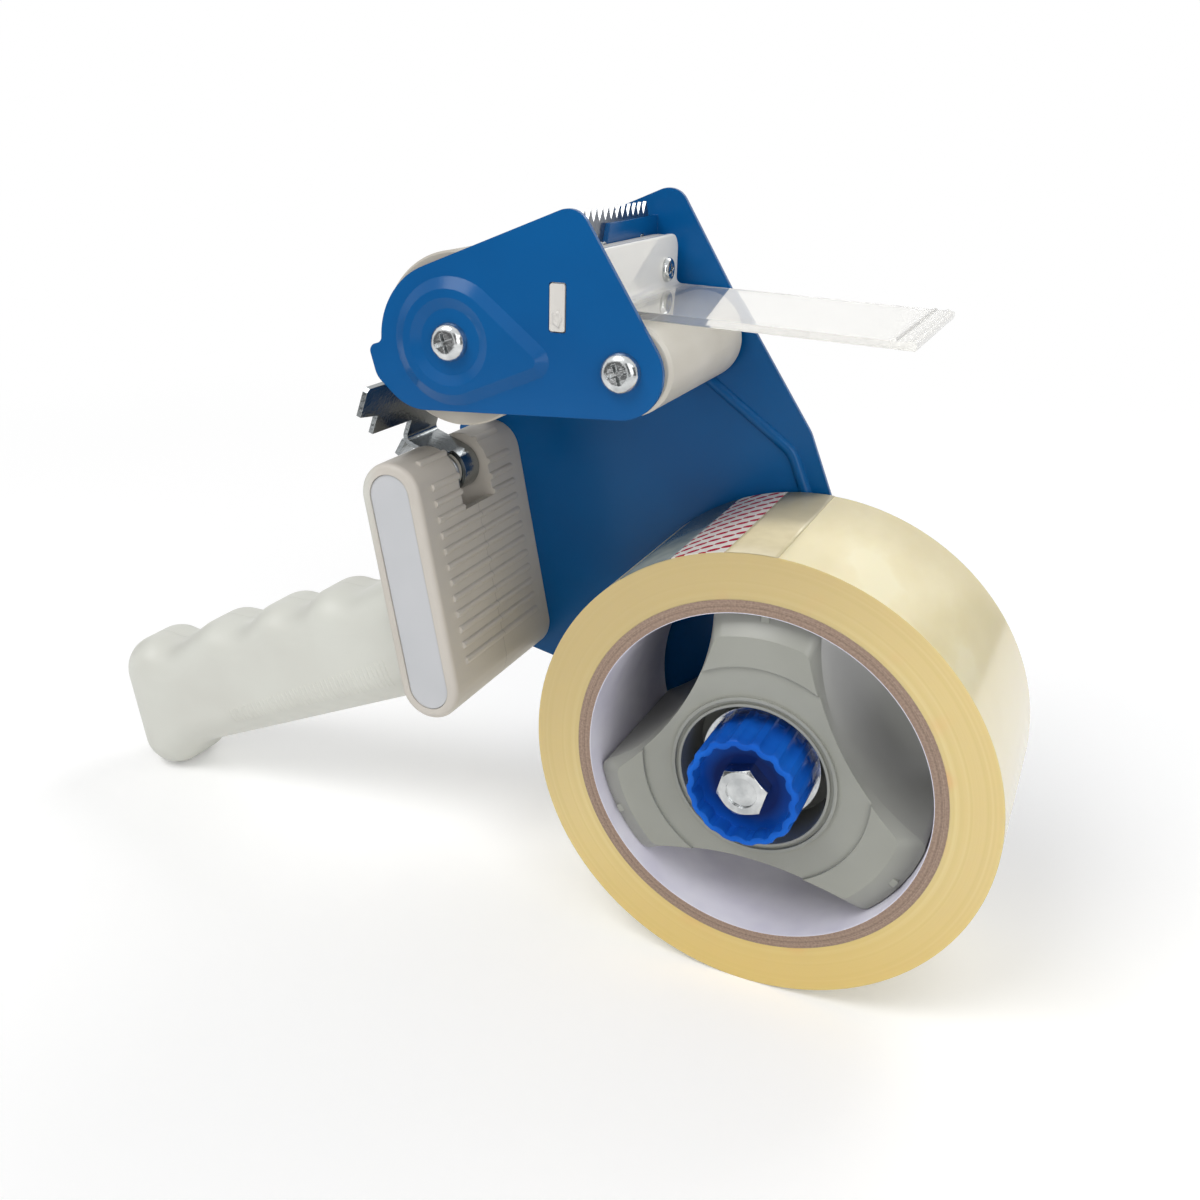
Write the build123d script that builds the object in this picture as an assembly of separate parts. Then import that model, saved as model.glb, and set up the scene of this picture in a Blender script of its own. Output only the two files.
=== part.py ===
from build123d import *
import os
from math import acos, asin, atan2, cos, degrees, hypot, pi, radians, sin

# Packing tape dispenser with a pistol grip, in millimetres, +Z up.
# It is drawn with the hub axis on the Y axis and the near face of the tape roll at Y = 0.
# X points from the grip to the tape roll, and Y from the near side to the frame plate.
# At the end everything is turned about the hub axis until the roll and the end of the
# grip touch one floor, and moved so that the origin lies in the middle of the footprint.

# Tape roll
TAPE_WIDTH = 48.0
TAPE_OD = 103.0
CORE_BORE = 76.2
LINER_WALL = 0.15
CORE_WALL = 3.0
STRIP_THICKNESS = 0.15
STRIP_START = 99.6
STRIP_SWEEP = 13.6

# Sheet metal frame
PLATE_THICKNESS = 1.2
SIDE_GAP = 1.5
ROLLER_X, ROLLER_Z = -72.5, 90.1
GUIDE_X, GUIDE_Z = -31.9, 86.9
NEAR_EDGE = 9.4
FAR_EDGE = 11.4
HUB_END_RADIUS = 20.0
BEND_X, BEND_Z = -12.5, 61.5
BEND_RADIUS = 9.0
PRESS_HEIGHT = 1.5
PRESS_RADIUS = 14.3
PRESS_TIP = 24.0
DISH_RADIUS = 9.8
DISH_DEPTH = 1.0
BEAD_RADIUS = 1.5

# Application roller, guide roller and their axles
ROLLER_OD = 39.2
ROLLER_CORE_OD = 31.0
ROLLER_LENGTH = 47.0
AXLE_RADIUS = 4.0
GUIDE_OD = 20.0
GUIDE_LENGTH = 47.4
RUNNING_CLEARANCE = 0.05
SCREW_RADIUS = 2.5
SCREW_DEPTH = 12.0
SCREW_HEAD_RADIUS = 4.4
SCREW_HEAD_HEIGHT = 2.6

# Wiper bar, wiper and blade
BAR_FACE_X = -40.4
BAR_BACK_X = -44.9
TAB_WIDTH = 3.5
TAB_BOTTOM, TAB_HEIGHT = 94.3, 10.0
BAR_BOTTOM, BAR_TOP = 92.2, 110.8
WIPER_THICKNESS = 1.6
WIPER_GAP = 0.15
WIPER_CORNER = 4.0
WIPER_WIDTH = 45.0
WIPER_REACH = 65.5
WIPER_SLOPE = 2.1
WIPER_TOP = 111.3
WIPER_FLAP_Z = 97.9
BLADE_THICKNESS = 0.8
BLADE_TOP, BLADE_BOTTOM = 118.4, 106.0
TOOTH_HEIGHT, TOOTH_PITCH = 2.9, 3.2
FLANGE_TOP, FLANGE_END = 115.0, 17.0

# Handle
BOX_RADIUS = 8.2
BOX_TOP_X, BOX_TOP_Z = -90.8, 51.2
BOX_LENGTH = 48.8
BOX_TILT = 11.5
BOX_NEAR = -1.7
WALL = 2.2
WEB = 2.5
PANEL_BORDER = 2.7
PANEL_DEPTH, PANEL_THICKNESS = 0.8, 0.5
RIB_COUNT, RIB_PITCH = 12, 4.0
RIB_RADIUS, RIB_SINK, RIB_LENGTH = 0.9, 0.15, 38.4
SLOT_WIDTH, SLOT_SHIFT, SLOT_DEPTH = 15.0, 0.5, 8.8
BOSS_RADIUS = 4.0
SHELL_SCREW_HEAD, HANDLE_SCREW_RADIUS = 2.8, 1.5
RIM_ROUNDING = 1.6
GRIP_WIDTH, GRIP_CORNER, GRIP_WALL = 27.0, 9.2, 3.0
GRIP_ANGLE = 23.9
GRIP_BOTTOM, GRIP_DEPTH, GRIP_WAVE = 29.8, 35.4, 5.0
GRIP_TOE, GRIP_TOE_LENGTH, GRIP_TOE_RADIUS = 4.8, 14.6, 10.0
GRIP_BUTT_RISE, GRIP_BUTT_RADIUS = 8.0, 10.4
GRIP_CRESTS = (109.6, 130.2, 154.0, 191.4)
GRIP_VALLEYS = (100.5, 119.6, 142.6, 173.5)
GRIP_LENGTH = 200.4
WAVE_ROUNDING = 10.4
GRIP_ROOT = 66.0

# Comb lever
PIN_RADIUS, PIN_LENGTH = 2.0, 20.0
SHEET = 1.2
KNUCKLE_RADIUS = 6.0
LEVER_CENTRE = 24.5
LEVER_WIDTH = 14.0
ARM_LENGTH, ARM_SLOPE = 10.4, 20.3
COMB_LEAN = 19.0
COMB_HEIGHT = 19.6
COMB_LOW_WIDTH = 49.0
COMB_TOP_WIDTH = 64.0
LEVER_TAB = 4.6
LEVER_WIRE, LEVER_COIL, LEVER_TURNS, LEVER_LEG = 1.2, 4.2, 4, 3.0

# Core holder and brake
HOLDER_CLEARANCE = 0.25
HOLDER_WAIST = 21.0
LOBE_HALF_ANGLE = 18.0
HOLDER_WALL = 2.2
HOLDER_FRONT, HOLDER_LEAD, HOLDER_BACK = 1.0, 3.6, 46.0
HOLDER_SLOPE, STEP_DEPTH = 5.4, 0.7
RECESS_RADIUS, RECESS_FLOOR = 16.3, 15.5
BUSH_RADIUS = 7.5
SPINDLE_RADIUS, SPINDLE_START, SPINDLE_RIVET_RADIUS = 6.0, 16.2, 4.5
SHOULDER = 3.0
BOLT_RADIUS, BOLT_END = 3.0, 40.0
BOLT_HEAD_FLATS, BOLT_HEAD_HEIGHT, HEAD_SEAT = 10.0, 4.0, -3.0
HEAD_CROWN = 0.5
KNOB_RADIUS, KNOB_CUP_RADIUS = 12.4, 10.3
KNOB_RIM, KNOB_WEB, KNOB_BACK = -7.2, 3.5, 7.6
FLUTES, FLUTE_RADIUS, FLUTE_DEPTH = 16, 2.6, 0.7
WASHER_THICKNESS, THRUST_RADIUS, BRAKE_RADIUS = 1.0, 13.4, 10.0
SPRING_RADIUS, SPRING_WIRE, SPRING_TURNS = 6.4, 1.2, 3.0

NEAR_INNER = -SIDE_GAP
NEAR_OUTER = NEAR_INNER - PLATE_THICKNESS
FAR_INNER = TAPE_WIDTH + SIDE_GAP
FAR_OUTER = FAR_INNER + PLATE_THICKNESS
MID_Y = TAPE_WIDTH / 2
TAPE_RADIUS = TAPE_OD / 2
BORE_RADIUS = CORE_BORE / 2
HOLDER_RADIUS = BORE_RADIUS - HOLDER_CLEARANCE

NODES = {}


def prism(outline, y, length, taper=0.0):
    """Extrude an X-Z outline from y along +Y (negative length: along -Y)."""
    way = (0, 1, 0) if length > 0 else (0, -1, 0)
    return extrude(Plane.XZ.offset(-y) * outline, amount=abs(length), dir=way, taper=taper)


def disc(radius, x=0.0, z=0.0):
    return Pos(x, z) * Circle(radius)


def rod(radius, y, length, x=0.0, z=0.0):
    return prism(disc(radius, x, z), y, length)


def ring(outer, inner, y, length, x=0.0, z=0.0):
    return rod(outer, y, length, x, z) - rod(inner, y, length, x, z)


def rounded(corners):
    """Closed outline from (x, z, radius) corners."""
    points = [(x, z) for x, z, _ in corners]
    return make_face(FilletPolyline(*points, radius=[r for _, _, r in corners], close=True))


def hull(*shapes):
    return make_hull([edge for shape in shapes for edge in shape.edges()])


def head_outline(edge):
    """Outline of the head: edge is its distance from the guide axis to the front edge."""
    reach = edge - NEAR_EDGE
    return rounded([
        (ROLLER_X - 18.5, ROLLER_Z + 11.6, 17.8),
        (GUIDE_X - 10.6 + reach, GUIDE_Z + 33.8 + reach, 5.0),
        (GUIDE_X + 16.4 + reach, GUIDE_Z - 9.1, 9.8),
        (ROLLER_X - 11.7, ROLLER_Z - 16.5, 12.0),
        (ROLLER_X - 19.9, ROLLER_Z - 9.6, 5.0),
        (ROLLER_X - 22.0, ROLLER_Z - 2.6, 1.8),
        (ROLLER_X - 18.4, ROLLER_Z - 1.5, 1.5),
    ])


def box_point(across, down):
    """A point of the handle box: across its thickness, and down from its top centre."""
    a = radians(BOX_TILT)
    return (BOX_TOP_X + across * cos(a) + down * sin(a), BOX_TOP_Z + across * sin(a) - down * cos(a))


def stadium(radius):
    top = disc(radius, *box_point(0, 0))
    bottom = disc(radius, *box_point(0, BOX_LENGTH))
    return hull(top, bottom)


def screw_holes(plate, y):
    for x, z in ((ROLLER_X, ROLLER_Z), (GUIDE_X, GUIDE_Z)):
        plate -= rod(SCREW_RADIUS + 0.2, y - 5, 10, x, z)
    return plate


def tab_hole(plate, y):
    slot = Pos(BAR_BACK_X - TAB_WIDTH / 2, TAB_BOTTOM + TAB_HEIGHT / 2) * RectangleRounded(
        TAB_WIDTH + 0.5, TAB_HEIGHT + 0.5, 0.6)
    return plate - prism(slot, y - 5, 10)


def pressed(low, high, y, height):
    """A raised form with sloping sides, from its outline on the sheet to its flat top."""
    return loft([Plane.XZ.offset(-y) * low, Plane.XZ.offset(-y - height) * high], ruled=True)


def teardrop(inset):
    tip = disc(4.0 - inset, ROLLER_X + PRESS_TIP - 4.0, ROLLER_Z - 2.6)
    return hull(disc(PRESS_RADIUS - inset, ROLLER_X, ROLLER_Z), tip)


def pressed_teardrop():
    return pressed(teardrop(0), teardrop(2.6), NEAR_OUTER, -PRESS_HEIGHT)


def dish():
    """The dished ring round the roller screw, sunk into the top of the teardrop."""
    rim = disc(DISH_RADIUS, ROLLER_X, ROLLER_Z)
    floor = disc(DISH_RADIUS - 2.4, ROLLER_X, ROLLER_Z)
    return pressed(rim, floor, NEAR_OUTER - PRESS_HEIGHT, DISH_DEPTH)


def build_head_side_plate():
    plate = prism(head_outline(NEAR_EDGE), NEAR_OUTER, PLATE_THICKNESS)
    inwards = Pos(0, PLATE_THICKNESS, 0)
    plate += pressed_teardrop()
    plate -= inwards * pressed_teardrop()
    plate -= dish()
    plate += inwards * dish()
    plate = tab_hole(screw_holes(plate, NEAR_OUTER), NEAR_OUTER)
    NODES["head_side_plate"] = plate


def frame_outline():
    shoulder = disc(1.5, *box_point(-BOX_RADIUS + 0.6, -6.3))
    heel = disc(3.0, *box_point(-BOX_RADIUS + 3.0, BOX_LENGTH + 3.0))
    foot = disc(3.0, *box_point(BOX_RADIUS - 6.0, BOX_LENGTH + 5.0))
    hub = disc(HUB_END_RADIUS)
    bend = disc(BEND_RADIUS, BEND_X, BEND_Z)
    guide = disc(FAR_EDGE, GUIDE_X, GUIDE_Z)
    return head_outline(FAR_EDGE) + hull(shoulder, heel, foot, hub, bend, guide)


def bead(points, radius):
    """A stiffening bead pressed along a line, on the inside of the frame plate."""
    path = FilletPolyline(*points, radius=radius)
    ends = [Pos(x, FAR_INNER + 0.4, z) * Sphere(BEAD_RADIUS) for x, z in (points[0], points[-1])]
    spine = Plane.XZ.offset(-FAR_INNER - 0.4) * path
    return sweep(Plane(spine @ 0, z_dir=spine % 0) * Circle(BEAD_RADIUS), path=spine) + ends


def build_main_side_plate():
    plate = prism(frame_outline(), FAR_INNER, PLATE_THICKNESS)
    line = [(GUIDE_X + 1.5, GUIDE_Z - 10.5), (BEND_X + 4.0, BEND_Z - 1.0), (BEND_X + 9.4, BEND_Z - 14.5)]
    plate += bead(line, 8.0)
    plate = tab_hole(screw_holes(plate, FAR_INNER), FAR_INNER)
    plate -= rod(SPINDLE_RIVET_RADIUS, FAR_INNER - 5, 10)
    for x, z in handle_screw_places():
        plate -= rod(HANDLE_SCREW_RADIUS + 0.1, FAR_INNER - 5, 10, x, z)
    NODES["main_side_plate"] = plate + blade_flange()


def blade_flange():
    """The tongue bent over from the frame plate, which carries the blade."""
    outline = make_face(Polyline(
        (FAR_INNER, TAB_BOTTOM + TAB_HEIGHT + 0.8), (FAR_INNER, FLANGE_TOP),
        (FLANGE_END + 4.0, FLANGE_TOP), (FLANGE_END, TAB_BOTTOM + TAB_HEIGHT + 0.8), close=True))
    tongue = extrude(Plane.YZ.offset(flange_x()) * outline, amount=PLATE_THICKNESS)
    for y in rivet_places():
        tongue -= Pos(flange_x(), y, rivet_z()) * Rot(0, 90, 0) * Cylinder(1.6, 6)
    return tongue


def flange_x():
    return BAR_BACK_X - PLATE_THICKNESS - 0.3


def rivet_places():
    return (MID_Y - 6.0, MID_Y + 16.0)


def rivet_z():
    return (BLADE_BOTTOM + FLANGE_TOP) / 2 - 0.8


def build_cutting_blade():
    count = int((TAPE_WIDTH - 1.0) / TOOTH_PITCH)
    start = MID_Y - count * TOOTH_PITCH / 2
    root = BLADE_TOP - TOOTH_HEIGHT
    points = [(start, BLADE_BOTTOM), (start, root)]
    for n in range(count):
        y = start + n * TOOTH_PITCH
        points += [(y + TOOTH_PITCH * 0.5, BLADE_TOP), (y + TOOTH_PITCH, root)]
    points += [(start + count * TOOTH_PITCH, BLADE_BOTTOM)]
    strip = make_face(Polyline(*points, close=True))
    blade = extrude(Plane.YZ.offset(flange_x() - BLADE_THICKNESS) * strip, amount=BLADE_THICKNESS)
    rivets = []
    for y in rivet_places():
        place = Pos(flange_x(), y, rivet_z()) * Rot(0, 90, 0)
        blade -= place * Cylinder(1.6, 6)
        rivets.append(build_rivet(place))
    NODES["cutting_blade"] = blade
    NODES["blade_rivets"] = Compound(children=rivets)


def build_rivet(place):
    middle = Pos(0, 0, (PLATE_THICKNESS - BLADE_THICKNESS) / 2)
    shank = middle * Cylinder(1.5, PLATE_THICKNESS + BLADE_THICKNESS)
    head = Pos(0, 0, -BLADE_THICKNESS - 0.5) * Cylinder(2.6, 1.0)
    return place * (shank + chamfer(head.edges().group_by(Axis.Z)[0], 0.5))


def build_wiper_bar():
    middle = (BAR_BACK_X + BAR_FACE_X) / 2
    height = BAR_TOP - BAR_BOTTOM
    body = Pos(middle, BAR_BOTTOM + height / 2) * RectangleRounded(BAR_FACE_X - BAR_BACK_X, height, 0.6)
    tab = Pos(BAR_BACK_X - TAB_WIDTH / 2 + 0.4, TAB_BOTTOM + TAB_HEIGHT / 2) * RectangleRounded(
        TAB_WIDTH + 0.8, TAB_HEIGHT, 0.5)
    end = Pos(BAR_BACK_X - TAB_WIDTH / 2, TAB_BOTTOM + TAB_HEIGHT / 2) * RectangleRounded(
        TAB_WIDTH, TAB_HEIGHT, 0.5)
    length = FAR_INNER - NEAR_INNER - 0.2
    bar = prism(body + tab, NEAR_INNER + 0.1, length)
    bar = round_far_corner(bar, BAR_TOP, FAR_INNER - 0.1)
    bar += prism(end, NEAR_OUTER - 0.2, FAR_OUTER - NEAR_OUTER + 0.4)
    for y in wiper_screw_places():
        bar -= Pos(BAR_FACE_X, y, wiper_screw_z()) * Rot(0, 90, 0) * Cylinder(1.5, 7.0)
    NODES["wiper_bar"] = bar


def round_far_corner(piece, top, far):
    """Rounds the upper far corner of the bar or of the wiper's leg, seen from the roll."""
    r = WIPER_CORNER
    corner = Pos(0, far - r / 2, top - r / 2) * Box(200.0, r, r)
    keep = Pos(0, far - r, top - r) * Rot(0, 90, 0) * Cylinder(r, 220.0)
    return piece - (corner - keep)


def wiper_screw_places():
    return (NEAR_INNER + 6.0, MID_Y + 15.5)


def wiper_screw_z():
    return (WIPER_FLAP_Z + BAR_TOP) / 2 - 1.0


def build_wiper():
    """Clear L-shaped strip: its leg is screwed to the bar and its flap hangs over the roll."""
    x = BAR_FACE_X + WIPER_GAP
    drop = WIPER_REACH * sin(radians(WIPER_SLOPE))
    t = WIPER_THICKNESS
    outline = rounded([
        (x, WIPER_TOP, 0.5), (x + t, WIPER_TOP, 0.5), (x + t, WIPER_FLAP_Z + t, 1.5),
        (x + WIPER_REACH, WIPER_FLAP_Z + t - drop, 0.4), (x + WIPER_REACH, WIPER_FLAP_Z - drop, 0.4),
        (x, WIPER_FLAP_Z, 2.5)])
    wiper = prism(outline, MID_Y - WIPER_WIDTH / 2, WIPER_WIDTH)
    wiper = round_far_corner(wiper, WIPER_TOP, MID_Y + WIPER_WIDTH / 2)
    for back in (1.4, 4.2):
        z = WIPER_FLAP_Z + t - 0.35 - drop * (1 - back / WIPER_REACH)
        wiper += prism(disc(0.7, x + WIPER_REACH - back, z), MID_Y - WIPER_WIDTH / 2, WIPER_WIDTH)
    for y in wiper_screw_places():
        wiper -= Pos(x, y, wiper_screw_z()) * Rot(0, 90, 0) * Cylinder(1.7, 7.0)
    NODES["wiper"] = wiper
    NODES["wiper_screws"] = Compound(children=[
        Pos(x + t, y, wiper_screw_z()) * Rot(0, 90, 0) * pan_screw(1.5, 5.0, 2.9, 1.3)
        for y in wiper_screw_places()])


def pan_screw(radius, length, head_radius, head_height):
    """Pan head screw along Z: the seat is at Z = 0, the head above and the shank below."""
    dome = Pos(0, 0, head_height / 2) * Cylinder(head_radius, head_height)
    dome = fillet(dome.edges().group_by(Axis.Z)[-1], head_height * 0.85)
    slot = Box(head_radius * 1.05, head_radius * 0.2, head_height)
    cross = Pos(0, 0, head_height * 0.95) * Rot(0, 0, 20) * (slot + Rot(0, 0, 90) * slot)
    return dome - cross + Pos(0, 0, -length / 2) * Cylinder(radius, length)


def across(y, x, z, towards_near):
    """Place a screw drawn along Z so that its head points to -Y or to +Y."""
    return Pos(x, y, z) * Rot(90 if towards_near else -90, 0, 0)


def build_axles():
    length = FAR_INNER - NEAR_INNER
    holes = SCREW_DEPTH - PLATE_THICKNESS + 0.5
    screws = []
    for name, x, z in (("roller_axle", ROLLER_X, ROLLER_Z), ("guide_axle", GUIDE_X, GUIDE_Z)):
        axle = rod(AXLE_RADIUS, NEAR_INNER, length, x, z)
        axle -= rod(SCREW_RADIUS, NEAR_INNER, holes, x, z)
        axle -= rod(SCREW_RADIUS, FAR_INNER - holes, holes, x, z)
        NODES[name] = axle
        screw = pan_screw(SCREW_RADIUS, SCREW_DEPTH, SCREW_HEAD_RADIUS, SCREW_HEAD_HEIGHT)
        screws.append(across(near_seat(name), x, z, True) * screw)
        screws.append(across(FAR_OUTER, x, z, False) * screw)
    NODES["axle_screws"] = Compound(children=screws)


def near_seat(name):
    """The dish lifts the screw seat on the roller's side of the head plate."""
    return NEAR_OUTER - (PRESS_HEIGHT - DISH_DEPTH if name == "roller_axle" else 0.0)


def outer_circles(solid, radius):
    """The round edges of a turned part that are larger than a radius."""
    return [edge for edge in solid.edges().filter_by(GeomType.CIRCLE) if edge.radius > radius]


def build_application_roller():
    y = MID_Y - ROLLER_LENGTH / 2
    sleeve = ring(ROLLER_OD / 2, ROLLER_CORE_OD / 2, y, ROLLER_LENGTH, ROLLER_X, ROLLER_Z)
    NODES["roller_sleeve"] = chamfer(outer_circles(sleeve, ROLLER_CORE_OD / 2 + 1.0), 0.5)
    bore = AXLE_RADIUS + RUNNING_CLEARANCE
    core = ring(ROLLER_CORE_OD / 2, ROLLER_CORE_OD / 2 - 2.0, y, ROLLER_LENGTH, ROLLER_X, ROLLER_Z)
    core += ring(AXLE_RADIUS + 2.5, bore, y, ROLLER_LENGTH, ROLLER_X, ROLLER_Z)
    web = ring(ROLLER_CORE_OD / 2 - 1.0, AXLE_RADIUS + 1.5, y + 3.0, 2.0, ROLLER_X, ROLLER_Z)
    NODES["roller_core"] = core + web + Pos(0, ROLLER_LENGTH - 8.0, 0) * web


def build_guide_roller():
    y = MID_Y - GUIDE_LENGTH / 2
    tube = ring(GUIDE_OD / 2, AXLE_RADIUS + RUNNING_CLEARANCE, y, GUIDE_LENGTH, GUIDE_X, GUIDE_Z)
    for end in (y, y + GUIDE_LENGTH - 3.0):
        tube -= ring(GUIDE_OD / 2 - 2.0, AXLE_RADIUS + 2.0, end, 3.0, GUIDE_X, GUIDE_Z)
    NODES["guide_roller"] = chamfer(outer_circles(tube, GUIDE_OD / 2 - 0.1), 0.8)


def grip_point(along, up):
    """A point of the grip: along its axis towards its end, and up across it, from the hub axis."""
    a = radians(GRIP_ANGLE)
    return (-along * cos(a) - up * sin(a), -along * sin(a) + up * cos(a))


def grip_outline():
    """Side view of the grip with its finger crests, from the box to the toe and back."""
    top = GRIP_BOTTOM + GRIP_DEPTH
    toe = GRIP_LENGTH - GRIP_TOE_LENGTH
    corners = [(GRIP_ROOT, top, 0)]
    for valley, crest in zip(GRIP_VALLEYS, GRIP_CRESTS):
        corners += [(valley, top - GRIP_WAVE, WAVE_ROUNDING), (crest, top, WAVE_ROUNDING)]
    corners[-1] = (GRIP_CRESTS[-1], top + GRIP_BUTT_RISE, GRIP_BUTT_RADIUS)
    corners += [(GRIP_LENGTH, GRIP_BOTTOM - GRIP_TOE, GRIP_TOE_RADIUS),
                (toe, GRIP_BOTTOM - GRIP_TOE, GRIP_TOE_RADIUS),
                (toe - 2 * GRIP_TOE, GRIP_BOTTOM, GRIP_TOE_RADIUS),
                (GRIP_ROOT + 10.0, GRIP_BOTTOM, 0)]
    return rounded([(*grip_point(along, up), r) for along, up, r in corners])


def build_grip(inset):
    """Solid grip; a positive inset gives the smaller body that hollows it out."""
    outline = grip_outline()
    radius = GRIP_CORNER
    if inset:
        top = GRIP_BOTTOM + GRIP_DEPTH - GRIP_WAVE - inset
        outline = rounded([(*grip_point(along, up), r) for along, up, r in (
            (GRIP_ROOT + 2.0, top, 0), (GRIP_LENGTH - 4 * inset, top, GRIP_TOE_RADIUS),
            (GRIP_LENGTH - 2 * inset, GRIP_BOTTOM + inset, GRIP_TOE_RADIUS),
            (GRIP_ROOT + 10.0, GRIP_BOTTOM + inset, 0))])
        radius = GRIP_CORNER - inset
    grip = prism(outline, MID_Y - GRIP_WIDTH / 2 + inset, GRIP_WIDTH - 2 * inset)
    sides = grip.edges().group_by(Axis.Y)
    grip = fillet(sides[0] + sides[-1], radius)
    return grip


def boss_places():
    return (box_point(0, 17.0), box_point(0, BOX_LENGTH - 2.0))


def handle_screw_places():
    return boss_places()


def build_handle():
    """Hollow box and grip with ribs, lever slot and bosses, split into two half shells."""
    grip = build_grip(0)
    body = prism(stadium(BOX_RADIUS), BOX_NEAR, FAR_INNER - BOX_NEAR)
    body = fillet(body.edges().group_by(Axis.Y)[0], RIM_ROUNDING)
    body += grip
    for n in range(-1, RIB_COUNT):
        body += build_rib(n)
    depth = FAR_INNER - BOX_NEAR
    hollow = prism(stadium(BOX_RADIUS - WALL), BOX_NEAR + WALL + PANEL_DEPTH, depth - 2 * WALL - PANEL_DEPTH)
    body -= hollow + build_grip(GRIP_WALL)
    body += build_webs() + build_bosses()
    body -= lever_slot()
    body -= rod(PIN_RADIUS, MID_Y - PIN_LENGTH / 2, PIN_LENGTH, BOX_TOP_X, BOX_TOP_Z)
    body -= prism(stadium(BOX_RADIUS - PANEL_BORDER), BOX_NEAR, PANEL_DEPTH)
    for x, z in boss_places():
        body -= rod(SHELL_SCREW_HEAD + 0.1, BOX_NEAR + PANEL_DEPTH, 2.0, x, z)
        body -= rod(HANDLE_SCREW_RADIUS + 0.02, BOX_NEAR, FAR_INNER - BOX_NEAR + 1.0, x, z)
    near_half = Pos(-120, MID_Y - 50, 0) * Box(240, 100, 240)
    far_half = Pos(-120, MID_Y + 50, 0) * Box(240, 100, 240)
    NODES["handle_near_shell"] = body & near_half
    NODES["handle_far_shell"] = body & far_half
    sheet = stadium(BOX_RADIUS - PANEL_BORDER - 0.1)
    panel = prism(sheet, BOX_NEAR + PANEL_DEPTH - PANEL_THICKNESS, PANEL_THICKNESS)
    NODES["label_panel"] = panel
    build_handle_screws()
    pin = rod(PIN_RADIUS, MID_Y - PIN_LENGTH / 2, PIN_LENGTH, BOX_TOP_X, BOX_TOP_Z)
    NODES["lever_pin"] = chamfer(pin.edges(), 0.4)
    return grip


def build_rib(n):
    """One half-round grip rib across the roller side of the box; number -1 lies on its top curve."""
    x, z = box_point(BOX_RADIUS - RIB_SINK, n * RIB_PITCH)
    if n < 0:
        turn = radians(BOX_TILT + degrees(RIB_PITCH * 1.7 / BOX_RADIUS))
        x = BOX_TOP_X + (BOX_RADIUS - RIB_SINK) * cos(turn)
        z = BOX_TOP_Z + (BOX_RADIUS - RIB_SINK) * sin(turn)
    return rod(RIB_RADIUS, MID_Y - RIB_LENGTH / 2, RIB_LENGTH, x, z)


def build_webs():
    """Cross walls beside the lever slot, which carry the lever pin."""
    shape = hull(disc(BOX_RADIUS - 1, *box_point(0, 0)), disc(BOX_RADIUS - 1, *box_point(0, 9.0)))
    near = prism(shape, MID_Y + SLOT_SHIFT - SLOT_WIDTH / 2 - WEB, WEB)
    return near + Pos(0, SLOT_WIDTH + WEB, 0) * near


def build_bosses():
    bosses = [rod(BOSS_RADIUS, BOX_NEAR + PANEL_DEPTH, FAR_INNER - BOX_NEAR - PANEL_DEPTH, x, z)
              for x, z in boss_places()]
    return bosses[0] + bosses[1]


def lever_slot():
    """Opening for the lever: over the top of the box and down both of its flanks."""
    x, z = box_point(0, SLOT_DEPTH - 30.0)
    cut = Pos(x, z) * Rot(0, 0, BOX_TILT) * Rectangle(60.0, 60.0)
    return prism(cut, MID_Y + SLOT_SHIFT - SLOT_WIDTH / 2, SLOT_WIDTH)


def build_handle_screws():
    shells = []
    plates = []
    for x, z in boss_places():
        near = flat_screw(HANDLE_SCREW_RADIUS, 34.0, SHELL_SCREW_HEAD, 1.6)
        shells.append(across(BOX_NEAR + PANEL_DEPTH + 2.0, x, z, True) * near)
        plates.append(across(FAR_OUTER, x, z, False) * pan_screw(HANDLE_SCREW_RADIUS, 10.0, 2.8, 1.8))
    NODES["shell_screws"] = Compound(children=shells)
    NODES["handle_screws"] = Compound(children=plates)


def flat_screw(radius, length, head_radius, head_height):
    head = Pos(0, 0, head_height / 2) * Cylinder(head_radius, head_height)
    cross = Pos(0, 0, head_height) * (Box(head_radius, 0.7, 1.4) + Box(0.7, head_radius, 1.4))
    return head - cross + Pos(0, 0, -length / 2) * Cylinder(radius, length)


def lever_frame():
    """Start of the arm on the knuckle, its direction, and the direction of the comb plate."""
    a, c = radians(ARM_SLOPE), radians(COMB_LEAN)
    reach = KNUCKLE_RADIUS - SHEET / 2
    start = (BOX_TOP_X + sin(a) * reach, BOX_TOP_Z + cos(a) * reach)
    bend = (start[0] - cos(a) * ARM_LENGTH, start[1] + sin(a) * ARM_LENGTH)
    return start, bend, (sin(c), cos(c))


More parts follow.
